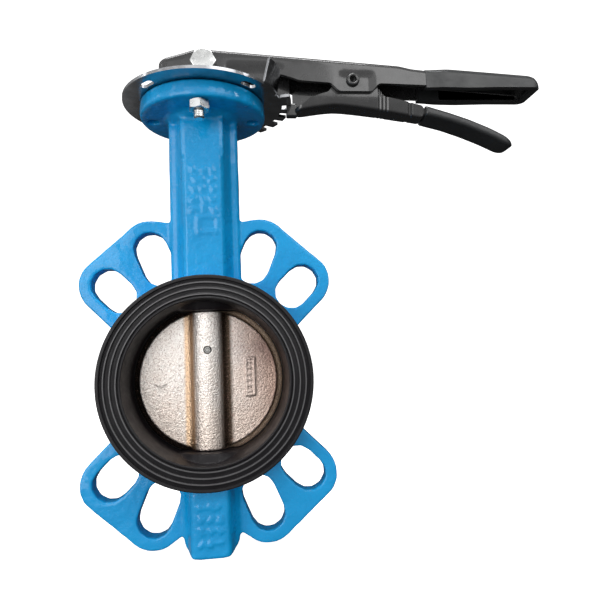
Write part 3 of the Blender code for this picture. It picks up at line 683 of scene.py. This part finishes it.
def disc_pin(material):
    """The pin through the boss, its ends dished."""
    radius, end_y, edge = half_width("disc_pin"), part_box("disc_pin")[1].y, 0.0004
    half = [(0, end_y - edge), (radius * 0.45, end_y - edge), (radius * 0.6, end_y),
            (radius - edge, end_y), (radius, end_y - edge)]
    made = lathe("disc_pin_fine", mirrored(half), 40, "Y", middle_of("disc_pin", "Y"), ring=False)
    return piece(made, material, "stainless_steel", STEM, "disc_pin")


# -------- fasteners

# Across the flats, the thread's radius and its pitch. Nuts have play on the thread.
M6_FLATS, M6_R, M6_PITCH = 0.0100, 0.0030, 0.0010
M8_FLATS, M8_R, M8_PITCH = 0.0127, 0.0040, 0.00125
THREAD_PLAY = 0.0002
CORNER_UP = math.pi / 6


def hexagonal(name, across_flats, low, high, centre, axis, turn, bore=0.0, both=True):
    """A hexagon nut or head along an axis, its corners chamfered at the high end, or at both."""
    steps = 96
    flat_r = across_flats / 2
    circle_r = flat_r * 0.95
    slope = math.tan(math.radians(30))

    def reach(angle):
        beside = (angle + math.pi / 6) % (math.pi / 3) - math.pi / 6
        return flat_r / math.cos(beside)

    def ring(radius_of, height_of):
        angles = [2 * math.pi * i / steps for i in range(steps)]
        return [round_axis(axis, centre, radius_of(a), a + turn, height_of(a)) for a in angles]

    def drop(angle):
        return max(0.0, reach(angle) - circle_r) * slope

    inner = max(bore, 1e-9)
    chamfer = 0.0005 if bore else 0.0
    rows = [
        ring(lambda a: inner + chamfer, lambda a: low),
        ring(lambda a: min(reach(a), circle_r) if both else reach(a), lambda a: low),
        ring(reach, lambda a: low + (drop(a) if both else 0.0)),
        ring(reach, lambda a: high - drop(a)),
        ring(lambda a: min(reach(a), circle_r), lambda a: high),
        ring(lambda a: inner + chamfer, lambda a: high),
    ]
    if bore:
        rows.append(ring(lambda a: inner, lambda a: high - chamfer))
        rows.append(ring(lambda a: inner, lambda a: low + chamfer))
    bm, _ = skin(rows, bool(bore))
    bmesh.ops.remove_doubles(bm, verts=bm.verts, dist=1e-6)
    return as_object(name, bm)


def thread(radius, pitch, start, end, smooth_to):
    """A threaded shank's profile from start to end, plain as far as smooth_to."""
    depth = pitch * 0.32
    way = 1 if end > start else -1
    points = [(0, start), (radius, start), (radius, smooth_to)]
    height = smooth_to
    while abs(end - height) > pitch:
        for reach, along in ((radius, 0.50), (radius - depth, 0.68), (radius - depth, 0.80), (radius, 0.98)):
            points.append((reach, height + way * pitch * along))
        height += way * pitch
    return points + [(radius - depth, end - way * 0.0004), (radius - 2 * depth, end), (0, end)]


def washer(node, bore, edge, axis, centre):
    """A flat washer with chamfered rims, as wide and as thick as its CAD node."""
    low, high = (corner["XYZ".index(axis)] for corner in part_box(node))
    rim = half_width(node)
    section = [(bore, low), (rim - edge, low), (rim, low + edge),
               (rim, high - edge), (rim - edge, high), (bore, high)]
    return lathe(f"{node}_fine", section, 64, axis, centre)


def plate_fasteners(side, material, shaded_nut_material):
    """The bolt, washer and nut on one side of the flange."""
    bolt_node, washer_node, nut_node = (f"plate_{kind}_{side}" for kind in ("bolt", "washer", "nut"))
    bolt_low, bolt_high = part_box(bolt_node)
    nut_low, nut_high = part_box(nut_node)
    centre = middle_of(bolt_node, "Z")
    head_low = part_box(washer_node)[1].z + GAP
    bolt = hexagonal(f"{bolt_node}_fine", M6_FLATS, head_low, bolt_high.z, centre, "Z", 0.0, both=False)
    profile = thread(M6_R, M6_PITCH, head_low + 0.0005, bolt_low.z, nut_high.z)
    combine(bolt, "UNION", lathe("shank", profile, 48, "Z", centre, ring=False))
    piece(bolt, material, "zinc_fastener", VALVE, bolt_node)
    ring = washer(washer_node, M6_R + GAP, 0.0002, "Z", centre)
    piece(ring, material, "zinc_fastener", VALVE, washer_node)
    nut = hexagonal(f"{nut_node}_fine", M6_FLATS, nut_low.z, nut_high.z, centre, "Z", math.radians(9),
                    bore=M6_R + THREAD_PLAY)
    # The nut takes the darker copy of the zinc, painted shade.
    return piece(nut, shaded_nut_material, "zinc_fastener", VALVE, nut_node)


def clamp_fasteners(material):
    """The bolt across the lever's head, with its washer and nut at the back."""
    bolt_low, bolt_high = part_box("clamp_bolt")
    nut_low, nut_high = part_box("clamp_nut")
    centre = middle_of("clamp_nut", "Y")
    under_head = bolt_low.y + 0.0053
    bolt = hexagonal("clamp_bolt_fine", M8_FLATS, -under_head, -bolt_low.y, (0, 0, 0), "Y", CORNER_UP,
                     both=False)
    bolt.data.transform(Matrix.Translation(centre) @ Matrix.Rotation(math.pi, 4, "Z"))
    profile = thread(M8_R, M8_PITCH, under_head - 0.0005, bolt_high.y, 0.0)
    combine(bolt, "UNION", lathe("shank", profile, 48, "Y", centre, ring=False))
    piece(bolt, material, "zinc_fastener", STEM, "clamp_bolt")
    ring = washer("clamp_washer", M8_R + GAP, 0.0003, "Y", centre)
    piece(ring, material, "zinc_fastener", STEM, "clamp_washer")
    nut = hexagonal("clamp_nut_fine", M8_FLATS, nut_low.y, nut_high.y, centre, "Y", CORNER_UP,
                    bore=M8_R + THREAD_PLAY)
    return piece(nut, material, "zinc_fastener", STEM, "clamp_nut")


def pivot_rivet(material):
    """A hollow rivet with rolled heads."""
    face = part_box("pivot_rivet")[1].y - 0.0010
    bore, shank, roll = 0.0017, 0.0026, 0.0010
    near = [(bore, face - roll)]
    near += [(bore + roll + r, face + y) for r, y in arc((0, 0), 0.00095, 180, 20, 8)]
    near += [(half_width("pivot_rivet"), face + 0.0001), (shank, face)]
    made = lathe("pivot_rivet_fine", mirrored(near), 64, "Y", middle_of("pivot_rivet", "Y"))
    return piece(made, material, "black_paint", STEM, "pivot_rivet")


# -------- position plate

PLATE_SHEET = 0.0016
RIM_R = 0.0450
NOTCH_ROOT_R = 0.0460
NOTCHES = 8
NOTCH_PITCH = 90.0 / (NOTCHES - 1)
NOTCH_HALF = 3.4
TOOTH_ARC = (-16.5, 106.5)
STOPS = ((-40.0, -20.0), (110.0, 130.0))
STEM_HOLE_R = 0.0090
# Slots as their distance from the stem, half their width and angle, and their middles.
SLOTS = (
    (0.0285, 0.0033, 6, (-90, 90)),
    (0.0385, 0.0021, 4, (-135, -47, 135)),
)


def plate_rim(tooth_r, stop_r):
    """The plate's outline: rim, notches between teeth, and the rim set back where the stops bend up."""
    outline = [polar(tooth_r, TOOTH_ARC[0])]
    before = TOOTH_ARC[0]
    for notch in range(NOTCHES):
        low, high = notch * NOTCH_PITCH - NOTCH_HALF, notch * NOTCH_PITCH + NOTCH_HALF
        outline += arc((0, 0), tooth_r, before, low, 4)[1:]
        outline += arc((0, 0), NOTCH_ROOT_R, low + 0.5, high - 0.5, 4)
        outline.append(polar(tooth_r, high))
        before = high
    outline += arc((0, 0), tooth_r, before, TOOTH_ARC[1], 8)[1:]
    edges = (TOOTH_ARC[1], *STOPS[1], 360 + STOPS[0][0], 360 + STOPS[0][1], 360 + TOOTH_ARC[0])
    for radius, start, end in zip((RIM_R, stop_r, RIM_R, stop_r, RIM_R), edges, edges[1:]):
        outline += arc((0, 0), radius, start, end, max(3, round((end - start) / 2.5)))
    return outline


def curved_slot(radius, half, half_angle, middle):
    """A slot along an arc round the stem, with round ends."""
    start, end = middle - half_angle, middle + half_angle
    return (
        arc((0, 0), radius + half, start, end, 8)
        + arc(polar(radius, end), half, end, end + 180, 10)[1:-1]
        + arc((0, 0), radius - half, end, start, 8)
        + arc(polar(radius, start), half, start - 180, start, 10)[1:-1]
    )


def bent_stop(start, end, held, low, plate_top, top):
    """A tab bent up from the rim and a little outwards. Its sides close in on the held angle as it rises."""
    outer, inner = RIM_R + 0.0004, RIM_R - 0.0012
    bend, crease, edge, tongue = 0.0022, 0.0008, 0.0003, 0.004
    lean, taper = 0.0024, 0.16
    section = [(inner - tongue, low)]
    section += arc((outer - bend, low + bend), bend, -90, 0, 6)
    section += [(outer, top - edge), (outer - edge, top), (inner + edge, top), (inner, top - edge)]
    section += arc((inner - crease, plate_top + crease), crease, 0, -90, 5)
    section += [(inner - tongue, plate_top)]
    rows = []
    for angle in np.linspace(start, end, 17):
        row = []
        for radius, height in section:
            rise = max(0.0, height - plate_top) / (top - plate_top)
            width = 1 - taper * rise ** 0.6
            row.append((*polar(radius + lean * rise, held + (angle - held) * width), height))
        rows.append(row)
    return soften(capped("stop", rows), 0.00025)


def position_plate(material):
    """The notched zinc plate: its stem hole, bolt slots and spare slots, and two upturned stops."""
    low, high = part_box("position_plate")
    plate_top = low.z + PLATE_SHEET
    holes = [arc((0, 0), STEM_HOLE_R, 0, 352.5, 47)]
    holes += [curved_slot(*slot, middle) for *slot, middles in SLOTS for middle in middles]
    made = slab("position_plate_fine", [plate_rim(high.x, RIM_R - 0.0022), *holes], low.z, plate_top)
    soften(made, 0.00022)
    for (start, end), held in zip(STOPS, (STOPS[0][1], STOPS[1][0])):
        combine(made, "UNION", bent_stop(start, end, held, low.z, plate_top, high.z))
    return piece(made, material, "zinc_plate", VALVE, "position_plate")


# -------- lever and trigger

LEVER_SHEET = 0.0023
TRIGGER_SHEET = 0.0016

# How far the cheeks of lever and trigger are pressed in, and where along X that starts, is full, fades and
# is gone. The pleats have a pitch and two ends, the neck stays full once it is, the undercut fades along Z.
DISH_DEPTH, DISH_FROM_PIVOT = 0.0008, (-0.0110, -0.0060, 0.0090, 0.0140)
ROLL_DEPTH, ROLL_ALONG = 0.0016, (0.0120, 0.0170, 0.0360, 0.0520)
GROOVE_DEPTH, GROOVE_ALONG = 0.0009, (0.1202, 0.1210, 0.1222, 0.1230)
PLEAT_DEPTH, PLEAT_PITCH, PLEATS = 0.00055, 0.0022, (0.1022, 0.1088)
NECK_DEPTH, NECK_FROM_TO = 0.0003, (0.1225, 0.1235)
UNDERCUT_DEPTH, UNDERCUT_Z = 0.0015, (0.1500, 0.1620)

RIVET_HOLE_R = 0.0029
WEB_ALONG = (0.0400, 0.0506)
WEB_LOW_Z = 0.1636
RIB_ALONG = (0.0524, 0.0778)


class SideView:
    """How high a CAD node reaches, read from its mesh at a distance y from the middle plane."""

    def __init__(self, node, y):
        mesh = frame["nodes"][node].data
        self.tree = BVHTree.FromPolygons([v.co for v in mesh.vertices], [p.vertices for p in mesh.polygons])
        self.y = y

    def heights(self, stations, upwards, blur):
        """The topmost or lowest point at each station along X, evened over the blur length."""
        start, way = (-1.0, 1.0) if upwards else (1.0, -1.0)
        found = []
        for x in stations:
            hit = self.tree.ray_cast(Vector((x, self.y, start)), Vector((0, 0, way)))[0]
            found.append(hit.z if hit else found[-1])
        found = np.array(found)
        step = stations[1] - stations[0]
        reach = max(1, round(2 * blur / step))
        weights = np.exp(-0.5 * (np.arange(-reach, reach + 1) * step / blur) ** 2)
        before = 2 * found[0] - found[reach:0:-1]
        after = 2 * found[-1] - found[-2:-reach - 2:-1]
        return np.convolve(np.concatenate([before, found, after]), weights / weights.sum(), "valid")


def arch(half, closed_z, open_z, bend):
    """Round a channel's outside as (y, z): up one cheek, over the rounded bends and down the other."""
    way = 1 if closed_z > open_z else -1
    bend = max(0.0002, min(bend, abs(closed_z - open_z) * 0.6, half * 0.9))
    left = [(-half, z) for z in np.linspace(open_z, closed_z - way * bend, 8)]
    for y, z in arc((0, 0), bend, 180, 90, 6)[1:]:
        left.append((-half + bend + y, closed_z - way * (bend - z)))
    top = [(y, closed_z) for y in np.linspace(-half + bend, half - bend, 6)][1:-1]
    return left + top + [(-y, z) for y, z in reversed(left)]


def rounded_end(distance, radius):
    """How much narrower a piece is, this far from an end that is rounded in plan."""
    if distance >= radius:
        return 0.0
    return radius - math.sqrt(max(0.0, radius * radius - (radius - distance) ** 2))


def swept(name, stations, halves, closed, opened, bend, press=None):
    """A solid whose section at each station along X is an arch with its mouth filled in."""
    rows = []
    for x, half, closed_z, open_z in zip(stations, halves, closed, opened):
        row = []
        for y, z in arch(half, closed_z, open_z, bend):
            if press:
                y -= math.copysign(press(x, z), y) * min(1.0, abs(y) / half)
            row.append((x, y, z))
        rows.append(row)
    return capped(name, rows)


def channel(name, stations, halves, closed, opened, bend, sheet, press=None, open_ends=(False, False)):
    """A pressed channel: the swept solid with a smaller one, a sheet's thickness in, taken out of it."""
    made = swept(name, stations, halves, closed, opened, bend, press)
    way = 1 if closed[len(closed) // 2] > opened[len(opened) // 2] else -1
    first = 0 if open_ends[0] else int(np.searchsorted(stations, stations[0] + sheet))
    last = len(stations) if open_ends[1] else int(np.searchsorted(stations, stations[-1] - sheet))
    inner = slice(first, last)
    past_end, past_mouth = 0.001, 0.004
    inner_x = np.array(stations[inner])
    inner_x[0] -= past_end if open_ends[0] else 0.0
    inner_x[-1] += past_end if open_ends[1] else 0.0
    inner_closed = np.array(closed[inner]) - way * sheet
    mouth = np.array(opened[inner]) - way * past_mouth
    inner_halves = [max(0.0005, half - sheet) for half in halves[inner]]
    hollow = swept("hollow", inner_x, inner_halves, inner_closed, mouth, max(0.0004, bend - sheet), press)
    return combine(made, "DIFFERENCE", hollow)


def lever_arm(material):
    """The pressed steel lever: open below, dished round the trigger's pivot, rolled in beside the clamp bolt.

    A web stands between its cheeks, in front of the trigger."""
    low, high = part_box("lever")
    pivot, clamp = middle_of("pivot_rivet", "Y"), middle_of("clamp_nut", "Y")
    half = high.y
    stations = np.linspace(low.x + 0.0002, high.x - 0.0002, 300)
    view = SideView("lever", half - 0.0010)
    # The grip begins with a step, so close to it the lever is read just before it.
    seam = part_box("lever_grip")[0].x
    looked_at = np.where(np.abs(stations - seam) < 0.0010, seam - 0.0010, stations)
    closed = view.heights(looked_at, False, 0.0012)
    opened = view.heights(looked_at, True, 0.0009)
    halves = [half - rounded_end(x - low.x, 0.0060) - rounded_end(high.x - x, 0.0040) for x in stations]

    def dent(x, z):
        dish = DISH_DEPTH * hump(x - pivot.x, *DISH_FROM_PIVOT)
        roll = ROLL_DEPTH * hump(x, *ROLL_ALONG)
        dish *= 1 - smoothstep(z, pivot.z + 0.0018, pivot.z + 0.0060)
        return dish + roll * (1 - smoothstep(z, 0.1740, 0.1800))

    made = channel("lever_fine", stations, halves, closed, opened, 0.0028, LEVER_SHEET, dent)
    web_x = np.linspace(*WEB_ALONG, 12)
    roof = view.heights(web_x, False, 0.0012) - 0.0010
    combine(made, "UNION", swept("web", web_x, [0.0010] * len(web_x), roof, [WEB_LOW_Z] * len(web_x), 0.0004))
    rivet_cut = rod("rivet_cut", RIVET_HOLE_R, 0.03, 40, "Y", pivot)
    combine(made, "DIFFERENCE", rivet_cut, rod("clamp_cut", M8_R + GAP, 0.03, 40, "Y", clamp))
    return piece(made, material, "black_paint", STEM, "lever", angle=40)


def lever_sleeve(material):
    """The dipped grip on the lever's end, thicker than the sheet all round and narrowest at its mouth."""
    low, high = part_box("lever_grip")
    stations = np.linspace(low.x + 0.0001, high.x - 0.0001, 150)
    outside = SideView("lever_grip", high.y - 0.0006)
    closed = outside.heights(stations, False, 0.0014)
    opened = outside.heights(stations, True, 0.0010)
    narrowed = [0.0012 * (1 - smoothstep(x, low.x, low.x + 0.0140)) for x in stations]
    halves = [high.y - thin - rounded_end(high.x - x, 0.0045) for x, thin in zip(stations, narrowed)]
    made = channel("lever_grip_fine", stations, halves, closed, opened, 0.0034, 0.0038,
                   open_ends=(True, False))
    return piece(made, material, "black_grip", STEM, "lever_grip", angle=50)


def trigger_press(x, z):
    """How far the trigger's cheeks are pressed in: a groove, a neck before the grip, pleats, an undercut."""
    depth = GROOVE_DEPTH * hump(x, *GROOVE_ALONG) + NECK_DEPTH * smoothstep(x, *NECK_FROM_TO)
    if PLEATS[0] < x < PLEATS[1]:
        depth += PLEAT_DEPTH * (1 - math.cos(2 * math.pi * (x - PLEATS[0]) / PLEAT_PITCH)) / 2
    return depth + UNDERCUT_DEPTH * (1 - smoothstep(z, *UNDERCUT_Z))


def trigger_arm(material):
    """The squeeze trigger's channel, open above, and the rib at its front."""
    low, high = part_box("trigger")
    half = high.y
    stations = np.linspace(low.x + 0.0052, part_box("trigger_grip")[0].x + 0.0012, 260)
    view = SideView("trigger", half - 0.0008)
    closed = view.heights(stations, True, 0.0010)
    opened = view.heights(stations, False, 0.0008)
    halves = [half - rounded_end(x - stations[0], 0.0050) for x in stations]
    made = channel("trigger_fine", stations, halves, closed, opened, 0.0018, TRIGGER_SHEET, trigger_press,
                   open_ends=(False, True))
    rib_x = np.linspace(*RIB_ALONG, 44)
    rib_top = SideView("trigger", 0.0).heights(rib_x, False, 0.0004)
    rib_low = closed[np.clip(np.searchsorted(stations, rib_x), 0, len(closed) - 1)] + 0.0006
    combine(made, "UNION", swept("rib", rib_x, [0.0011] * len(rib_x), rib_top, rib_low, 0.0006))
    return piece(made, material, "black_paint", TRIGGER, "trigger", angle=40)


def pawl(material, tip_material):
    """The pawl at the trigger's nose. It stands in its notch, and its top is worn bright."""
    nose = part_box("trigger")[0].x
    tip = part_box("position_plate")[0].z + PLATE_SHEET
    tip_step = 0.0003
    foot = SideView("trigger", 0.0).heights(np.linspace(nose + 0.001, nose + 0.002, 5), True, 0.0004)[2]
    size = (0.0062, 0.0048, tip - tip_step - foot)
    shank = block("pawl", (nose + 0.0036, 0, (tip - tip_step + foot) / 2), size, 0.0007)
    piece(shank, material, "black_paint", TRIGGER)
    top = block("pawl_tip", (nose + 0.0033, 0, tip - 0.0005), (0.0052, 0.0044, 0.0010), 0.0003)
    return piece(top, tip_material, "zinc_plate", TRIGGER)


def trigger_sleeve(material):
    """The grip on the trigger: a rounded bar that droops to a round nose."""
    low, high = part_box("trigger_grip")
    stations = np.linspace(low.x + 0.0001, high.x - 0.0001, 110)
    view = SideView("trigger_grip", 0.0)
    top = view.heights(stations, False, 0.0015)
    under = view.heights(stations, True, 0.0015)
    rows = []
    corner = 0.0021
    for x, top_z, under_z in zip(stations, top, under):
        half = high.y - rounded_end(x - low.x, 0.0008) - rounded_end(high.x - x, 0.0070)
        bend = min(corner, (top_z - under_z) * 0.45)
        row = []
        for sign_y, sign_z, start in ((1, 1, 0), (-1, 1, 90), (-1, -1, 180), (1, -1, 270)):
            middle = (sign_y * (half - bend), (top_z - bend) if sign_z > 0 else (under_z + bend))
            row += [(x, y, z) for y, z in arc(middle, bend, start, start + 90, 6)]
        rows.append(row)
    return piece(capped("trigger_grip_fine", rows), material, "black_grip", TRIGGER, "trigger_grip", angle=50)


# -------- stage, light and camera

# Which way the room is brightest, its least and greatest brightness, and where it fades between them.
BRIGHT_SIDE = (-0.40, -0.70, 0.60)
ROOM = (0.03, 0.70)
ROOM_FADE = (-0.45, 0.95)

SENSOR, LENS = 36.0, 32.32
CAMERA_PLACE = (0.02236, -0.30772, 0.01873)
CAMERA_RIGHT = (0.99483, -0.09467, -0.03669)
CAMERA_FORWARD = (0.0973, 0.9922, 0.0781)


def stage_material():
    """A matt white that shines by itself, so the floor shows even and pale."""
    paint = Paintbox("stage_white", (0.80, 0.80, 0.80), 0.9, Specular_IOR_Level=0.0,
                     Emission_Color=(1.0, 1.0, 1.0, 1.0), Emission_Strength=1.0)
    return paint.material


def stage():
    """A pale floor that curves up into a round pale wall. It lights nothing, so undersides stay in shade."""
    floor_z = CAD_BOUNDS[0].z - 0.0002
    radius, bend = 4.0, 1.5
    profile = [(0, floor_z), (radius - bend, floor_z)]
    profile += [(r, z + floor_z) for r, z in arc((radius - bend, bend), bend, -90, 0, 16)]
    profile += [(radius, floor_z + 4.0), (radius - 2.0, floor_z + 6.0), (0, floor_z + 6.0)]
    made = lathe("floor", profile, 64, ring=False)
    made.data.shade_smooth()
    made.data.materials.append(stage_material())
    made.visible_diffuse = False
    made.visible_glossy = False
    made.visible_shadow = False


def world():
    """A soft room: bright in front, above and to the left, dark below, behind and to the right."""
    made = bpy.data.worlds.new("studio")
    bpy.context.scene.world = made
    made.use_nodes = True
    tree = made.node_tree
    place = tree.nodes.new("ShaderNodeTexCoord")
    toward = tree.nodes.new("ShaderNodeVectorMath")
    toward.operation = "DOT_PRODUCT"
    toward.inputs[1].default_value = Vector(BRIGHT_SIDE).normalized()
    ramp = tree.nodes.new("ShaderNodeMapRange")
    ramp.interpolation_type = "SMOOTHSTEP"
    set_range(ramp, *ROOM_FADE, *ROOM)
    background = tree.nodes["Background"]
    tree.links.new(place.outputs["Generated"], toward.inputs[0])
    tree.links.new(toward.outputs["Value"], ramp.inputs["Value"])
    tree.links.new(ramp.outputs["Result"], background.inputs["Strength"])
    background.inputs["Color"].default_value = (1.0, 1.0, 1.0, 1.0)


def lights():
    """Softboxes as (name, place, width and height, radiance), each turned to the object.

    The glossy paint doesn't mirror the one low behind it."""
    middle = (0.02, 0.0, 0.04)
    boxes = (
        ("key", (-0.52, -0.84, 0.14), (0.60, 0.80), 2.5),
        ("upper_right", (0.50, -0.80, 0.64), (0.60, 0.36), 2.2),
        ("top", (-0.05, -0.30, 1.05), (0.80, 0.16), 12.0),
        ("front", (-0.02, -0.85, 0.56), (0.50, 0.14), 0.6),
        ("low_right", (0.62, -0.78, 0.06), (0.40, 0.50), 0.8),
        ("edge_right", (0.80, -0.36, 0.62), (0.04, 0.25), 9.0),
        ("edge_left", (-0.90, -0.15, 0.50), (0.04, 0.25), 7.0),
        ("back", (-0.20, 0.55, 1.30), (0.90, 0.30), 1.6),
        ("low_back", (-0.10, 1.30, 0.15), (1.20, 0.60), 0.9),
        ("floor_left", (-0.55, 0.90, -0.40), (0.70, 0.35), 0.17),
    )
    for name, place, size, radiance in boxes:
        data = bpy.data.lights.new(name, "AREA")
        data.shape = "RECTANGLE"
        data.size, data.size_y = size
        data.energy = radiance * math.pi * size[0] * size[1]
        made = linked(name, data)
        made.location = place
        made.rotation_euler = (Vector(middle) - Vector(place)).to_track_quat("-Z", "Y").to_euler()
        made.visible_glossy = name != "low_back"


def camera():
    """The photograph's view: a little to the right of the stem, low, and tilted slightly up."""
    data = bpy.data.cameras.new("camera")
    data.sensor_width = SENSOR
    data.lens = LENS
    forward = Vector(CAMERA_FORWARD).normalized()
    up = Vector(CAMERA_RIGHT).normalized().cross(forward).normalized()
    turn = Matrix((forward.cross(up), up, -forward)).transposed()
    made = linked("camera", data)
    made.matrix_world = Matrix.Translation(CAMERA_PLACE) @ turn.to_4x4()
    bpy.context.scene.camera = made


def carry_over(materials):
    """Gives the CAD nodes that stay on show their materials."""
    finishes = {
        "stem": "stainless", "lower_bush": "bronze", "middle_bush": "bronze", "upper_bush": "bronze",
        "lower_seal_ring": "seal", "upper_seal_ring": "seal", "stem_retaining_ring": "spring",
        "lever_socket": "paint", "trigger_spring": "spring",
    }
    for node, finish in finishes.items():
        mesh = frame["nodes"][node].data
        mesh.materials.clear()
        mesh.materials.append(materials[finish])


MATERIALS = {
    "enamel": blue_enamel(), "rubber": seat_rubber(), "seal": seal_rubber(), "disc": cast_disc(),
    "zinc": plated("zinc_plate", (0.52, 0.53, 0.55), 0.14, 0.26),
    "fastener": plated("zinc_fastener", (0.86, 0.87, 0.86), 0.16, 0.30),
    # The flange nuts get a darker copy of the fasteners' zinc, as painted shade.
    "nut": plated("shaded_zinc_nut", (0.66, 0.67, 0.67), 0.20, 0.36),
    "stainless": plated("stainless_steel", (0.66, 0.66, 0.64), 0.18, 0.32),
    "bronze": plated("bearing_bronze", (0.70, 0.46, 0.22), 0.25, 0.40),
    "spring": plated("spring_steel", (0.55, 0.55, 0.56), 0.20, 0.35),
    "paint": black_paint(), "grip": black_grip(),
}

cast_body(MATERIALS["enamel"])
seat(MATERIALS["rubber"])
disc(MATERIALS["disc"])
disc_pin(MATERIALS["stainless"])
position_plate(MATERIALS["zinc"])
for flange_side in ("front", "back"):
    plate_fasteners(flange_side, MATERIALS["fastener"], MATERIALS["nut"])
clamp_fasteners(MATERIALS["fastener"])
pivot_rivet(MATERIALS["paint"])
lever_arm(MATERIALS["paint"])
lever_sleeve(MATERIALS["grip"])
trigger_arm(MATERIALS["paint"])
pawl(MATERIALS["paint"], MATERIALS["fastener"])
trigger_sleeve(MATERIALS["grip"])
carry_over(MATERIALS)
stage()
world()
lights()
camera()
bpy.context.scene.view_settings.view_transform = "Standard"
